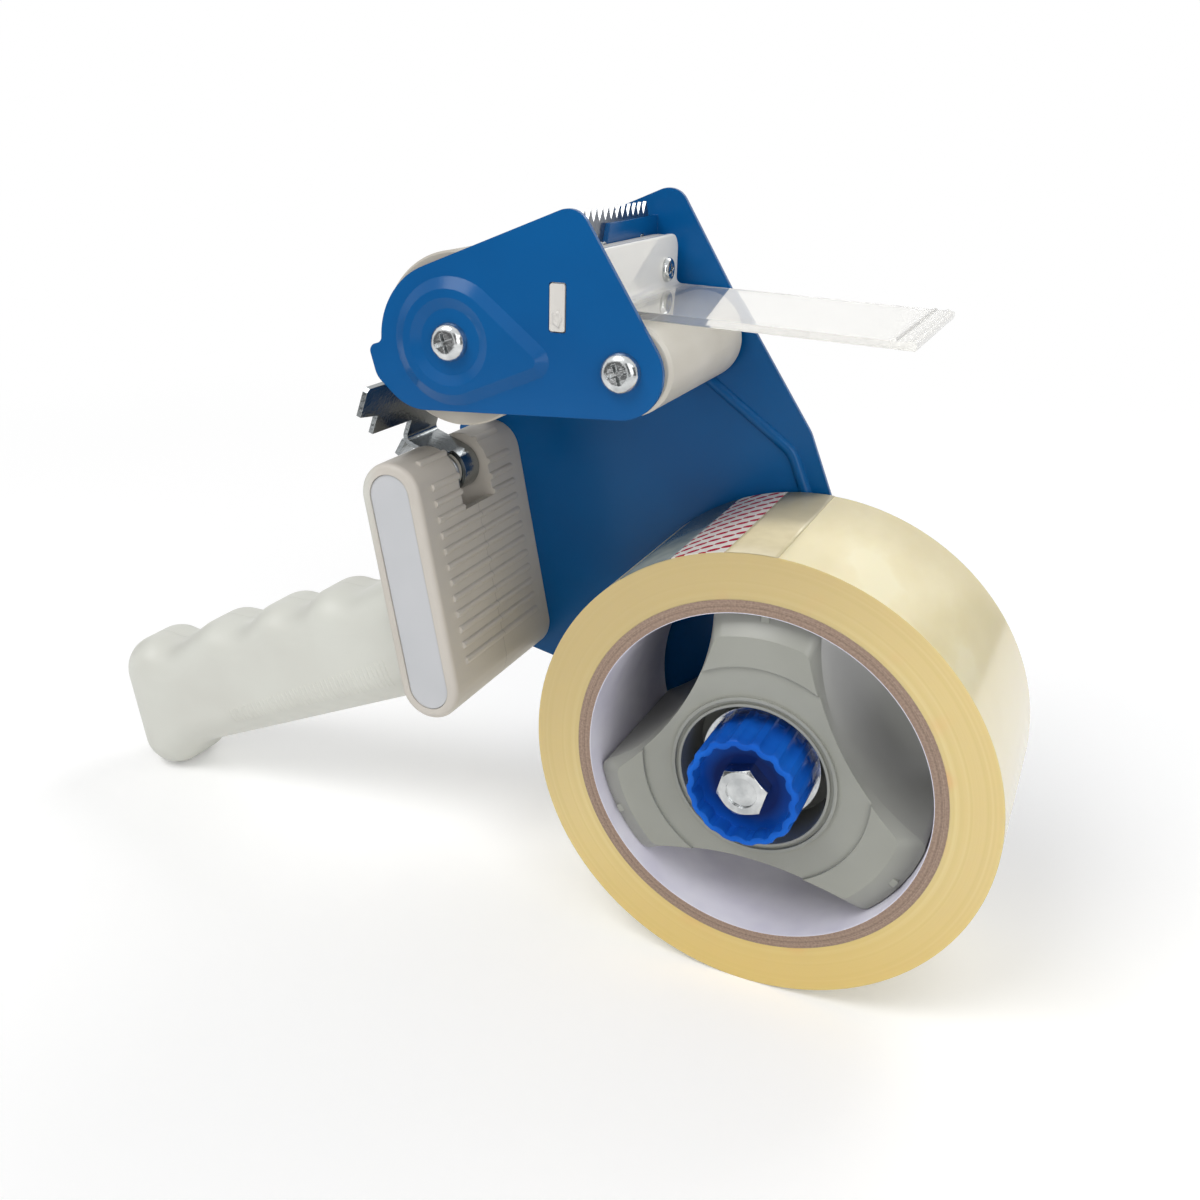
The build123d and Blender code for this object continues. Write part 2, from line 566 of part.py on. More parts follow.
def build_comb_lever():
    """Bent sheet lever: a curled knuckle, an arm and the wide comb plate."""
    start, bend, up = lever_frame()
    low = (bend[0] + up[0] * 6.0, bend[1] + up[1] * 6.0)
    strip = trace(FilletPolyline(start, bend, low, radius=2.0), SHEET)
    lever = prism(strip, LEVER_CENTRE - LEVER_WIDTH / 2, LEVER_WIDTH)
    curl = ring(KNUCKLE_RADIUS, KNUCKLE_RADIUS - SHEET, LEVER_CENTRE, LEVER_WIDTH / 2, BOX_TOP_X, BOX_TOP_Z)
    gap = rounded([(BOX_TOP_X, BOX_TOP_Z, 0), (BOX_TOP_X - 12.0, BOX_TOP_Z - 3.0, 0),
                   (BOX_TOP_X - 12.0, BOX_TOP_Z + 16.0, 0),
                   (start[0], start[1] + 6.0, 0), (start[0], start[1], 0)])
    lever += curl - prism(gap, LEVER_CENTRE - 1, LEVER_WIDTH)
    lever += comb_plate(low, up)
    tab = (bend[0] - LEVER_TAB * sin(radians(30)), bend[1] - LEVER_TAB * cos(radians(30)))
    lever += prism(trace(Polyline(bend, tab), SHEET), LEVER_CENTRE - LEVER_WIDTH / 2, LEVER_WIDTH / 2)
    NODES["comb_lever"] = lever
    bore = PIN_RADIUS + RUNNING_CLEARANCE
    bush = ring(KNUCKLE_RADIUS - SHEET, bore, LEVER_CENTRE, LEVER_WIDTH / 2, BOX_TOP_X, BOX_TOP_Z)
    NODES["lever_bush"] = bush


def comb_plate(low, up):
    """The flat comb plate, drawn upright from its foot and then leant towards the roller."""
    half = [(LEVER_WIDTH / 2, -1.0), (LEVER_WIDTH / 2 - 0.5, 0.0), (COMB_LOW_WIDTH / 2, 0.3),
            (COMB_LOW_WIDTH / 2, 5.2), (COMB_TOP_WIDTH / 2, 6.4),
            (COMB_TOP_WIDTH / 2, COMB_HEIGHT - 6.9), (COMB_TOP_WIDTH / 2 - 0.9, COMB_HEIGHT - 6.0)]
    outline = [(y, z) for y, z in half] + [(-y, z) for y, z in reversed(half)]
    face = make_face(Polyline(*outline, close=True))
    plate = extrude(Plane.YZ * face, amount=SHEET / 2, both=True)
    return Pos(low[0], LEVER_CENTRE, low[1]) * Rot(0, COMB_LEAN, 0) * plate


def build_lever_spring():
    """Torsion spring round the lever pin: one leg under the arm, one leg on the box."""
    start, bend, _ = lever_frame()
    height = LEVER_WIRE * 1.08 * LEVER_TURNS
    helix = Helix(pitch=height / LEVER_TURNS, height=height, radius=LEVER_COIL)
    spine = Pos(BOX_TOP_X, LEVER_CENTRE - LEVER_WIRE, BOX_TOP_Z) * Rot(90, 0, 0) * helix
    coil = sweep(Plane(spine @ 0, z_dir=spine % 0) * Circle(LEVER_WIRE / 2), path=spine)
    NODES["lever_spring"] = coil + spring_legs(spine)


def spring_legs(spine):
    """Straight legs that carry on from both ends of the coil."""
    legs = []
    for at, sign in ((0, -1), (1, 1)):
        way = (spine % at) * sign
        legs.append(extrude(Plane(spine @ at, z_dir=way) * Circle(LEVER_WIRE / 2), amount=LEVER_LEG))
    return legs


def lobe_outline(radius, waist, half_angle, corner):
    """Three round pads joined by hollow waists, with a pad at the top."""
    edges = []
    for pad in (90, 210, 330):
        a, b = radians(pad - half_angle), radians(pad + half_angle)
        mid, dip, nxt = radians(pad), radians(pad + 60), radians(pad + 120 - half_angle)
        ends = [(radius * cos(t), radius * sin(t)) for t in (a, mid, b, nxt)]
        edges.append(ThreePointArc(ends[0], ends[1], ends[2]))
        edges.append(ThreePointArc(ends[2], (waist * cos(dip), waist * sin(dip)), ends[3]))
    face = make_face(edges)
    return fillet(face.vertices(), corner) if corner else face


def build_core_holder():
    """Three-lobed holder: hollow from the back, with a deep recess for the brake in front."""
    outer = lobe_outline(HOLDER_RADIUS, HOLDER_WAIST, LOBE_HALF_ANGLE, 2.5)
    slim = lobe_outline(HOLDER_RADIUS - HOLDER_SLOPE, HOLDER_WAIST, LOBE_HALF_ANGLE, 2.5)
    wall = HOLDER_WALL
    inner = lobe_outline(HOLDER_RADIUS - wall, HOLDER_WAIST - wall, LOBE_HALF_ANGLE - 3.5, 1.0)
    holder = pressed(slim, outer, HOLDER_FRONT, HOLDER_LEAD)
    holder += prism(outer, HOLDER_FRONT + HOLDER_LEAD, HOLDER_BACK - HOLDER_FRONT - HOLDER_LEAD)
    holder -= prism(inner, HOLDER_FRONT + HOLDER_LEAD + 1.0, HOLDER_BACK)
    floor = RECESS_FLOOR + HOLDER_WALL
    holder += rod(RECESS_RADIUS + HOLDER_WALL, HOLDER_FRONT, floor - HOLDER_FRONT)
    holder += rod(BUSH_RADIUS + HOLDER_WALL, HOLDER_FRONT, HOLDER_BACK - HOLDER_FRONT)
    for angle in (90, 210, 330):
        holder += lobe_rib(angle)
    holder -= rod(RECESS_RADIUS, HOLDER_FRONT, RECESS_FLOOR - HOLDER_FRONT)
    holder -= rod(BUSH_RADIUS, HOLDER_FRONT, HOLDER_BACK)
    holder -= front_steps()
    NODES["core_holder"] = holder
    bush = ring(BUSH_RADIUS, SPINDLE_RADIUS + RUNNING_CLEARANCE, RECESS_FLOOR, HOLDER_BACK - RECESS_FLOOR)
    NODES["hub_bush"] = bush


def lobe_rib(angle):
    """Radial stiffening rib inside a lobe."""
    inside = BUSH_RADIUS + 1.0
    length = HOLDER_RADIUS - inside - 1.0
    a = radians(angle)
    middle = inside + length / 2
    plate = Pos(middle * cos(a), middle * sin(a)) * Rot(0, 0, angle) * Rectangle(length, 1.8)
    return prism(plate, HOLDER_FRONT + 2.0, HOLDER_BACK - HOLDER_FRONT - 4.0)


def front_steps():
    """The lower middle of the front face, bounded by an arc on each lobe, and a ring round the recess."""
    inner = RECESS_RADIUS + HOLDER_WALL
    face = rod(inner + 7.0, HOLDER_FRONT, STEP_DEPTH) - rod(inner, HOLDER_FRONT, STEP_DEPTH)
    return face + ring(inner - 0.8, inner - 1.6, HOLDER_FRONT, STEP_DEPTH)


def build_spindle():
    """Steel spindle riveted to the frame plate; the brake bolt screws into its end."""
    spindle = rod(SPINDLE_RADIUS, SPINDLE_START, FAR_INNER - SPINDLE_START)
    spindle += rod(SPINDLE_RADIUS + 3.0, FAR_INNER - SHOULDER, SHOULDER)
    spindle += rod(SPINDLE_RIVET_RADIUS, FAR_INNER, PLATE_THICKNESS)
    spindle += rod(SPINDLE_RADIUS + 0.5, FAR_OUTER, 1.2)
    spindle -= rod(BOLT_RADIUS + RUNNING_CLEARANCE, SPINDLE_START, 26.0)
    NODES["hub_spindle"] = spindle


def flutes(reach, start):
    """The round bars, one for each flute, that shape the knob from outside or its cup from inside."""
    bars = []
    for n in range(FLUTES):
        a = 2 * pi * n / FLUTES
        bars.append(rod(FLUTE_RADIUS, start, KNOB_BACK - start + 1.0, reach * cos(a), reach * sin(a)))
    return bars


def build_knob():
    """Fluted cup with the bolt head seated on its web."""
    blank = rod(KNOB_RADIUS, KNOB_RIM, KNOB_BACK - KNOB_RIM)
    blank = fillet(blank.edges().group_by(Axis.Y)[0], 0.8)
    blank -= flutes(KNOB_RADIUS + FLUTE_RADIUS - FLUTE_DEPTH, KNOB_RIM - 1.0)
    blank += rod(KNOB_RADIUS - FLUTE_DEPTH * 0.6, KNOB_BACK - 1.6, 1.6)
    cup = rod(KNOB_CUP_RADIUS + FLUTE_DEPTH, KNOB_RIM - 1.0, HEAD_SEAT - KNOB_RIM + 1.0)
    blank -= cup - flutes(KNOB_CUP_RADIUS + FLUTE_RADIUS, KNOB_RIM - 2.0)
    blank -= rod(KNOB_CUP_RADIUS - 0.6, HEAD_SEAT + KNOB_WEB, KNOB_BACK)
    blank += ring(BOLT_RADIUS + 2.5, BOLT_RADIUS, HEAD_SEAT + KNOB_WEB, KNOB_BACK - HEAD_SEAT - KNOB_WEB)
    NODES["adjusting_knob"] = blank - rod(BOLT_RADIUS, KNOB_RIM, KNOB_BACK - KNOB_RIM)
    build_hub_bolt()


def build_hub_bolt():
    """Hexagon head bolt with a crown and a shallow dish in the head."""
    top = HEAD_SEAT - BOLT_HEAD_HEIGHT
    hexagon = Rot(0, 0, 15) * RegularPolygon(BOLT_HEAD_FLATS / 2, 6, major_radius=False)
    bolt = prism(hexagon, top, BOLT_HEAD_HEIGHT) + rod(BOLT_RADIUS, HEAD_SEAT, BOLT_END - HEAD_SEAT)
    corners = prism(disc(BOLT_HEAD_FLATS), top, HEAD_CROWN) - bolt_crown()
    NODES["hub_bolt"] = bolt - corners - rod(BOLT_HEAD_FLATS * 0.34, top, HEAD_CROWN)


def bolt_crown():
    """Cone that takes the corners off the top of the hexagon head."""
    low = disc(BOLT_HEAD_FLATS / 2 - 0.1)
    high = disc(BOLT_HEAD_FLATS / 2 + 0.75)
    return pressed(low, high, HEAD_SEAT - BOLT_HEAD_HEIGHT, HEAD_CROWN)


def build_brake():
    """Thrust washer behind the knob, spring and brake washer on the floor of the recess."""
    bore = BOLT_RADIUS + 0.3
    NODES["thrust_washer"] = ring(THRUST_RADIUS, bore, KNOB_BACK, WASHER_THICKNESS)
    NODES["brake_washer"] = ring(BRAKE_RADIUS, bore, RECESS_FLOOR - WASHER_THICKNESS, WASHER_THICKNESS)
    length = RECESS_FLOOR - 2 * WASHER_THICKNESS - KNOB_BACK
    pitch = (length - SPRING_WIRE) / SPRING_TURNS
    helix = Helix(pitch=pitch, height=length - SPRING_WIRE, radius=SPRING_RADIUS)
    spine = Pos(0, KNOB_BACK + WASHER_THICKNESS + length - SPRING_WIRE / 2, 0) * Rot(90, 0, 0) * helix
    NODES["brake_spring"] = sweep(Plane(spine @ 0, z_dir=spine % 0) * Circle(SPRING_WIRE / 2), path=spine)


def build_tape():
    """Roll of tape on its cardboard core, with a printed liner and the starter strip."""
    liner = BORE_RADIUS + LINER_WALL
    core = BORE_RADIUS + CORE_WALL
    NODES["core_liner"] = ring(liner, BORE_RADIUS, 0, TAPE_WIDTH)
    NODES["tape_core"] = ring(core, liner, 0, TAPE_WIDTH)
    NODES["tape_roll"] = ring(TAPE_RADIUS, core, 0, TAPE_WIDTH)
    strip = ring(TAPE_RADIUS + STRIP_THICKNESS, TAPE_RADIUS, 0, TAPE_WIDTH)
    a, b = radians(STRIP_START), radians(STRIP_START + STRIP_SWEEP)
    wedge = make_face(Polyline((0, 0), (80 * cos(a), 80 * sin(a)), (80 * cos(b), 80 * sin(b)), close=True))
    NODES["starter_strip"] = strip & prism(wedge, -1, TAPE_WIDTH + 2)


def settle_angle(grip):
    """Turn about the hub axis that lets the toe of the grip rest on the floor under the roll."""
    low, high = -3.0, 3.0
    for _ in range(16):
        middle = (low + high) / 2
        gap = (Rot(0, middle, 0) * grip).bounding_box().min.Z + TAPE_RADIUS
        low, high = (middle, high) if gap < 0 else (low, middle)
    return middle


def origin_shift(solids):
    """From the hub axis to the middle of the footprint on the floor."""
    box = Compound(children=solids).bounding_box()
    return (-(box.min.X + box.max.X) / 2, -(box.min.Y + box.max.Y) / 2, TAPE_RADIUS)


def main():
    build_head_side_plate()
    build_main_side_plate()
    build_cutting_blade()
    build_wiper_bar()
    build_wiper()
    build_axles()
    build_application_roller()
    build_guide_roller()
    grip = build_handle()
    build_comb_lever()
    build_lever_spring()
    build_core_holder()
    build_spindle()
    build_knob()
    build_brake()
    build_tape()
    turn = Rot(0, settle_angle(grip), 0)
    placed = {name: turn * solid for name, solid in NODES.items()}
    shift = Pos(*origin_shift([part for solid in placed.values() for part in solid.solids()]))
    os.makedirs("parts", exist_ok=True)
    for name, solid in placed.items():
        export_step(shift * solid, f"parts/{name}.step")


if __name__ == "__main__":
    main()
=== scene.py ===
"""Dresses the tape dispenser: its finishes, the tape's tail, the palm ribs, the light and the camera."""
import math
import bmesh
import bpy
from mathutils import Euler, Matrix, Vector


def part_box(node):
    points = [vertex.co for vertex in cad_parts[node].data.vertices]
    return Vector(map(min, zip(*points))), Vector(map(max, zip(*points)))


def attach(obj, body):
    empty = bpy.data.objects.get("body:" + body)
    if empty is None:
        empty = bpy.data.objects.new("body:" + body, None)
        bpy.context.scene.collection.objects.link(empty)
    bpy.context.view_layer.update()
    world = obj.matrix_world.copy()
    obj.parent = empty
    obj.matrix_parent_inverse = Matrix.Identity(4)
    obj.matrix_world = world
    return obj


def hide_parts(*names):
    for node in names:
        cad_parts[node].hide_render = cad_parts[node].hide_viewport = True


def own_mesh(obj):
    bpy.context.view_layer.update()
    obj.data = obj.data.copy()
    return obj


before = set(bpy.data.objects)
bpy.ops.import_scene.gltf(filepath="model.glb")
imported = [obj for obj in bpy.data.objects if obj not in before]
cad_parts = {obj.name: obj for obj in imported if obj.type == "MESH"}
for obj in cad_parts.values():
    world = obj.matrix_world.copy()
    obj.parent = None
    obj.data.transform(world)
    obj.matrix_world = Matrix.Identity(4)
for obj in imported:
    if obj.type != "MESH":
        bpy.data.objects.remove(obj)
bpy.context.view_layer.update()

bl_info = {
    "name": "Tape Dispenser Dressing",
    "version": (1, 0, 0),
    "blender": (4, 5, 0),
    "location": "3D View > Sidebar > Dispenser",
    "description": "Gives the packing tape dispenser its materials, fine pieces and studio",
    "category": "Object",
}

MM = 0.001

ROLL_LOW, ROLL_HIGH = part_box("tape_roll")
ROLL_RADIUS = (ROLL_HIGH[0] - ROLL_LOW[0]) / 2
ROLL_X = (ROLL_LOW[0] + ROLL_HIGH[0]) / 2
ROLL_Z = (ROLL_LOW[2] + ROLL_HIGH[2]) / 2
ROLL_NEAR, ROLL_FAR = ROLL_LOW[1], ROLL_HIGH[1]
HUB_AXIS = Vector((ROLL_X, 0.0, ROLL_Z))
MID_Y = (ROLL_NEAR + ROLL_FAR) / 2

# The object was turned by this much about the hub axis to stand on the roll and on the end of the grip
HUB_TURN = Matrix.Rotation(math.radians(0.863), 3, "Y")

# The grip in millimetres from the hub axis: its slope, its middle, half its thickness, its rounded edge
GRIP_ANGLE = math.radians(23.9)
GRIP_MID_Y, GRIP_HALF, GRIP_ROUNDING = 24.0, 13.5, 9.2
GRIP_EDGE = 29.8 + GRIP_ROUNDING
RIB_START, RIB_RADIUS, RIB_RISE = 93.5, 0.5, 0.16
# How far a rib climbs the flat side: the part that shrinks from rib to rib, and the part that stays
RIB_CLIMB, RIB_SHORTEST = 5.0, 0.6
# Angles of its points round the lower edge, the thickness of its ends as a share, and its number of sides
RIB_TURNS = (0.0, 0.2, 0.4, 0.6)
RIB_TIP, RIB_SIDES = 0.35, 8
TAB_MIDDLE_X, TAB_MARK_Z = -46.6, 97.0
# Rings of the punch mark as radius and rise, its uneven outline, and how much taller than wide it is
MARK_RINGS = ((1.25, -0.2), (1.15, 0.16), (0.85, 0.26), (0.6, 0.0), (0.2, -0.02))
MARK_UNEVEN = (1.0, 0.8, 1.15, 0.9, 1.1, 0.75, 1.05, 0.9, 1.2, 0.85)
MARK_STRETCH = 1.45
WIPER_LEG_X, WIPER_LEG_Z = -38.0, 100.0
# Over how many millimetres the wiper clears from its leg and from its ridge, and how clear it gets
WIPER_FADE, WIPER_RIDGE, WIPER_CLEAR = 5.0, 7.0, 0.86
FILM_RISE, FILM_SUNK, FILM_STEPS = 0.12 * MM, 0.05 * MM, 12
BOX_EDGE_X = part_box("label_panel")[0][0]
BOX_FADE, SEAM_HALF = 3.0, 0.09
# Dashes of the starter strip in millimetres, and half the size of one as a share of its column and pitch
DASH_COLUMN, DASH_PITCH, DASH_STAGGER, DASH_LEAN = 2.42, 5.0, 2.23, 1.4
DASH_HALF_SIZE = (0.56, 0.2, 1.0)
# Radii between which the knob's colour turns from its cup, painted darker as shade, to its brighter rim, in
# millimetres
KNOB_CUP, KNOB_RIM = 7.0, 11.5

WHITE = (1.0, 1.0, 1.0, 1.0)


def from_hub(x, y, z):
    """A point in metres from millimetres measured from the hub axis and the near face of the roll."""
    return Vector((ROLL_X, ROLL_NEAR, ROLL_Z)) + HUB_TURN @ (Vector((x, y, z)) * MM)


def linear(code):
    """Linear colour of an sRGB hex value."""
    parts = [int(code[i:i + 2], 16) / 255 for i in (1, 3, 5)]
    return tuple(p / 12.92 if p <= 0.04045 else ((p + 0.055) / 1.055) ** 2.4 for p in parts) + (1.0,)


def add(tree, kind, settings=None, values=None, **links):
    """Adds a node: its settings, its input values by name or number, and links into it by name."""
    node = tree.nodes.new(kind)
    for key, value in (settings or {}).items():
        setattr(node, key, value)
    for key, value in (values or {}).items():
        node.inputs[key].default_value = value
    for key, output in links.items():
        socket = node.inputs[int(key[1:])] if key[0] == "_" else node.inputs[key.replace("_", " ")]
        tree.links.new(output, socket)
    return node


def start(name):
    """A new node material with its output, its shader and the object's own coordinates in millimetres."""
    material = bpy.data.materials.new(name)
    material.use_nodes = True
    tree = material.node_tree
    tree.nodes.clear()
    shader = add(tree, "ShaderNodeBsdfPrincipled")
    out = add(tree, "ShaderNodeOutputMaterial")
    tree.links.new(shader.outputs[0], out.inputs["Surface"])
    place = add(tree, "ShaderNodeTexCoord").outputs["Object"]
    coords = add(tree, "ShaderNodeVectorMath", {"operation": "SCALE"}, {"Scale": 1 / MM}, Vector=place)
    return material, tree, shader, coords.outputs[0]


def ramp(tree, factor, stops):
    """Colour ramp through (position, linear colour) stops."""
    node = add(tree, "ShaderNodeValToRGB", Fac=factor)
    points = node.color_ramp.elements
    while len(points) < len(stops):
        points.new(0.5)
    for point, (position, colour) in zip(points, stops):
        point.position = position
        point.color = colour
    return node.outputs["Color"]


def grain(tree, coords, size_mm, detail=2.0):
    """Noise whose blobs are about size_mm across."""
    noise = add(tree, "ShaderNodeTexNoise", None, {"Scale": 1 / size_mm, "Detail": detail}, Vector=coords)
    return noise.outputs["Fac"]


def relief(tree, shader, height, depth_mm, strength=1.0, edge_mm=0.25):
    """Bump of depth_mm over edges that are rounded by edge_mm, as a tool or a press leaves them."""
    edge = add(tree, "ShaderNodeBevel", {"samples": 4}, {"Radius": edge_mm * MM})
    bump = add(tree, "ShaderNodeBump", None, {"Distance": depth_mm * MM, "Strength": strength},
               Height=height, Normal=edge.outputs[0])
    tree.links.new(bump.outputs[0], shader.inputs["Normal"])


def shade(shader, **values):
    """Sets constant values on the shader's own sockets."""
    for key, value in values.items():
        shader.inputs[key.replace("_", " ")].default_value = value


def moulded(name, colour, deeper, roughness, grit_mm, depth_mm):
    """Injection moulded plastic: nearly even colour, fine mould grain, soft gloss."""
    material, tree, shader, coords = start(name)
    cloud = grain(tree, coords, 22.0)
    tint = ramp(tree, cloud, [(0.3, linear(deeper)), (0.7, linear(colour))])
    tree.links.new(tint, shader.inputs["Base Color"])
    shade(shader, Roughness=roughness, IOR=1.5)
    relief(tree, shader, grain(tree, coords, grit_mm), depth_mm, 0.5)
    return material


def blue_enamel(colour):
    """Blue stove enamel on sheet steel: deep and even, with a soft gloss and a faint orange peel."""
    material, tree, shader, coords = start("blue_stove_enamel")
    cloud = grain(tree, coords, 30.0)
    tint = ramp(tree, cloud, [(0.3, linear("#05508B")), (0.7, colour)])
    tree.links.new(tint, shader.inputs["Base Color"])
    shade(shader, Roughness=0.22, IOR=1.5, Specular_IOR_Level=0.22)
    relief(tree, shader, grain(tree, coords, 1.3), 0.02, 0.6)
    return material


def zinc_plate(name, dark, light, size_mm):
    """Zinc plated steel: cool silvery metal with clear reflections, broken up by soft clouds and dents."""
    material, tree, shader, coords = start(name)
    cloud = grain(tree, coords, size_mm, 3.0)
    tint = ramp(tree, cloud, [(0.3, linear(dark)), (0.7, linear(light))])
    tree.links.new(tint, shader.inputs["Base Color"])
    rough = add(tree, "ShaderNodeMapRange", None, {"To Min": 0.12, "To Max": 0.26}, Value=cloud)
    tree.links.new(rough.outputs[0], shader.inputs["Roughness"])
    shade(shader, Metallic=1.0)
    relief(tree, shader, grain(tree, coords, 1.1), 0.08, 0.7, 0.2)
    return material


def spring_steel():
    """Hardened strip and spring wire: darker, ground metal with fine lines across it."""
    material, tree, shader, coords = start("ground_spring_steel")
    stretched = add(tree, "ShaderNodeVectorMath", {"operation": "MULTIPLY"}, {1: (0.6, 6.0, 0.6)},
                    _0=coords)
    lines = add(tree, "ShaderNodeTexNoise", None, {"Scale": 1.0, "Detail": 3.0},
                Vector=stretched.outputs[0]).outputs["Fac"]
    tint = ramp(tree, lines, [(0.3, linear("#85888B")), (0.7, linear("#B7B9BB"))])
    tree.links.new(tint, shader.inputs["Base Color"])
    shade(shader, Metallic=1.0, Roughness=0.28)
    relief(tree, shader, lines, 0.008, 0.5, 0.08)
    return material


def clear_acetate():
    """Clear acetate sheet: see-through on the flap, milky in its thick ridge and in its screwed-on leg."""
    material, tree, shader, coords = start("clear_acetate_sheet")
    parts = add(tree, "ShaderNodeSeparateXYZ", _0=coords)
    leg = from_hub(WIPER_LEG_X, 0.0, WIPER_LEG_Z).x / MM
    bend = add(tree, "ShaderNodeMapRange", {"interpolation_type": "SMOOTHSTEP"},
               {"From Min": leg, "From Max": leg + WIPER_FADE, "To Min": 0.2, "To Max": WIPER_CLEAR},
               Value=parts.outputs["X"])
    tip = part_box("wiper")[1][0] / MM
    ridge = add(tree, "ShaderNodeMapRange", {"interpolation_type": "SMOOTHSTEP"},
                {"From Min": tip, "From Max": tip - WIPER_RIDGE, "To Min": 0.35, "To Max": WIPER_CLEAR},
                Value=parts.outputs["X"])
    clear = add(tree, "ShaderNodeMath", {"operation": "MINIMUM"},
                _0=bend.outputs[0], _1=ridge.outputs[0])
    tree.links.new(clear.outputs[0], shader.inputs["Transmission Weight"])
    shade(shader, Base_Color=linear("#FDFCF8"), Roughness=0.0, IOR=1.47)
    relief(tree, shader, grain(tree, coords, 9.0), 0.03, 0.3, 0.0)
    return material


def roller_rubber():
    """Moulded natural rubber: grey beige, satin, with faint rings from turning."""
    material, tree, shader, coords = start("turned_grey_rubber")
    stretched = add(tree, "ShaderNodeVectorMath", {"operation": "MULTIPLY"}, {1: (0.1, 2.2, 0.1)},
                    _0=coords)
    rings = add(tree, "ShaderNodeTexNoise", None, {"Scale": 1.0, "Detail": 2.0},
                Vector=stretched.outputs[0])
    tint = ramp(tree, rings.outputs["Fac"], [(0.3, linear("#B1ABA0")), (0.7, linear("#C1BBAE"))])
    tree.links.new(tint, shader.inputs["Base Color"])
    shade(shader, Roughness=0.5, IOR=1.52)
    relief(tree, shader, rings.outputs["Fac"], 0.02, 0.5)
    return material


def radius_from_hub(tree, coords):
    """Distance from the roll's axis in millimetres, for rings wound round it."""
    centre = tuple(c / MM for c in HUB_AXIS)
    offset = add(tree, "ShaderNodeVectorMath", {"operation": "SUBTRACT"}, {1: centre}, _0=coords)
    flat = add(tree, "ShaderNodeVectorMath", {"operation": "MULTIPLY"}, {1: (1, 0, 1)},
               _0=offset.outputs[0])
    length = add(tree, "ShaderNodeVectorMath", {"operation": "LENGTH"}, _0=flat.outputs[0])
    return length.outputs["Value"], offset.outputs[0]


def end_face(tree):
    """1 on the flat ends of the roll and 0 on its rounded sides."""
    normal = add(tree, "ShaderNodeNewGeometry").outputs["Normal"]
    y = add(tree, "ShaderNodeSeparateXYZ", _0=normal).outputs["Y"]
    size = add(tree, "ShaderNodeMath", {"operation": "ABSOLUTE"}, _0=y)
    flat = add(tree, "ShaderNodeMath", {"operation": "GREATER_THAN"}, {1: 0.7}, _0=size.outputs[0])
    return flat.outputs[0]


def blend_colour(tree, factor, low, high):
    """Colour output between two colours, each a value or an output."""
    node = add(tree, "ShaderNodeMix", {"data_type": "RGBA"}, _0=factor)
    for number, colour in ((6, low), (7, high)):
        if isinstance(colour, tuple):
            node.inputs[number].default_value = colour
        else:
            tree.links.new(colour, node.inputs[number])
    return node.outputs[2]


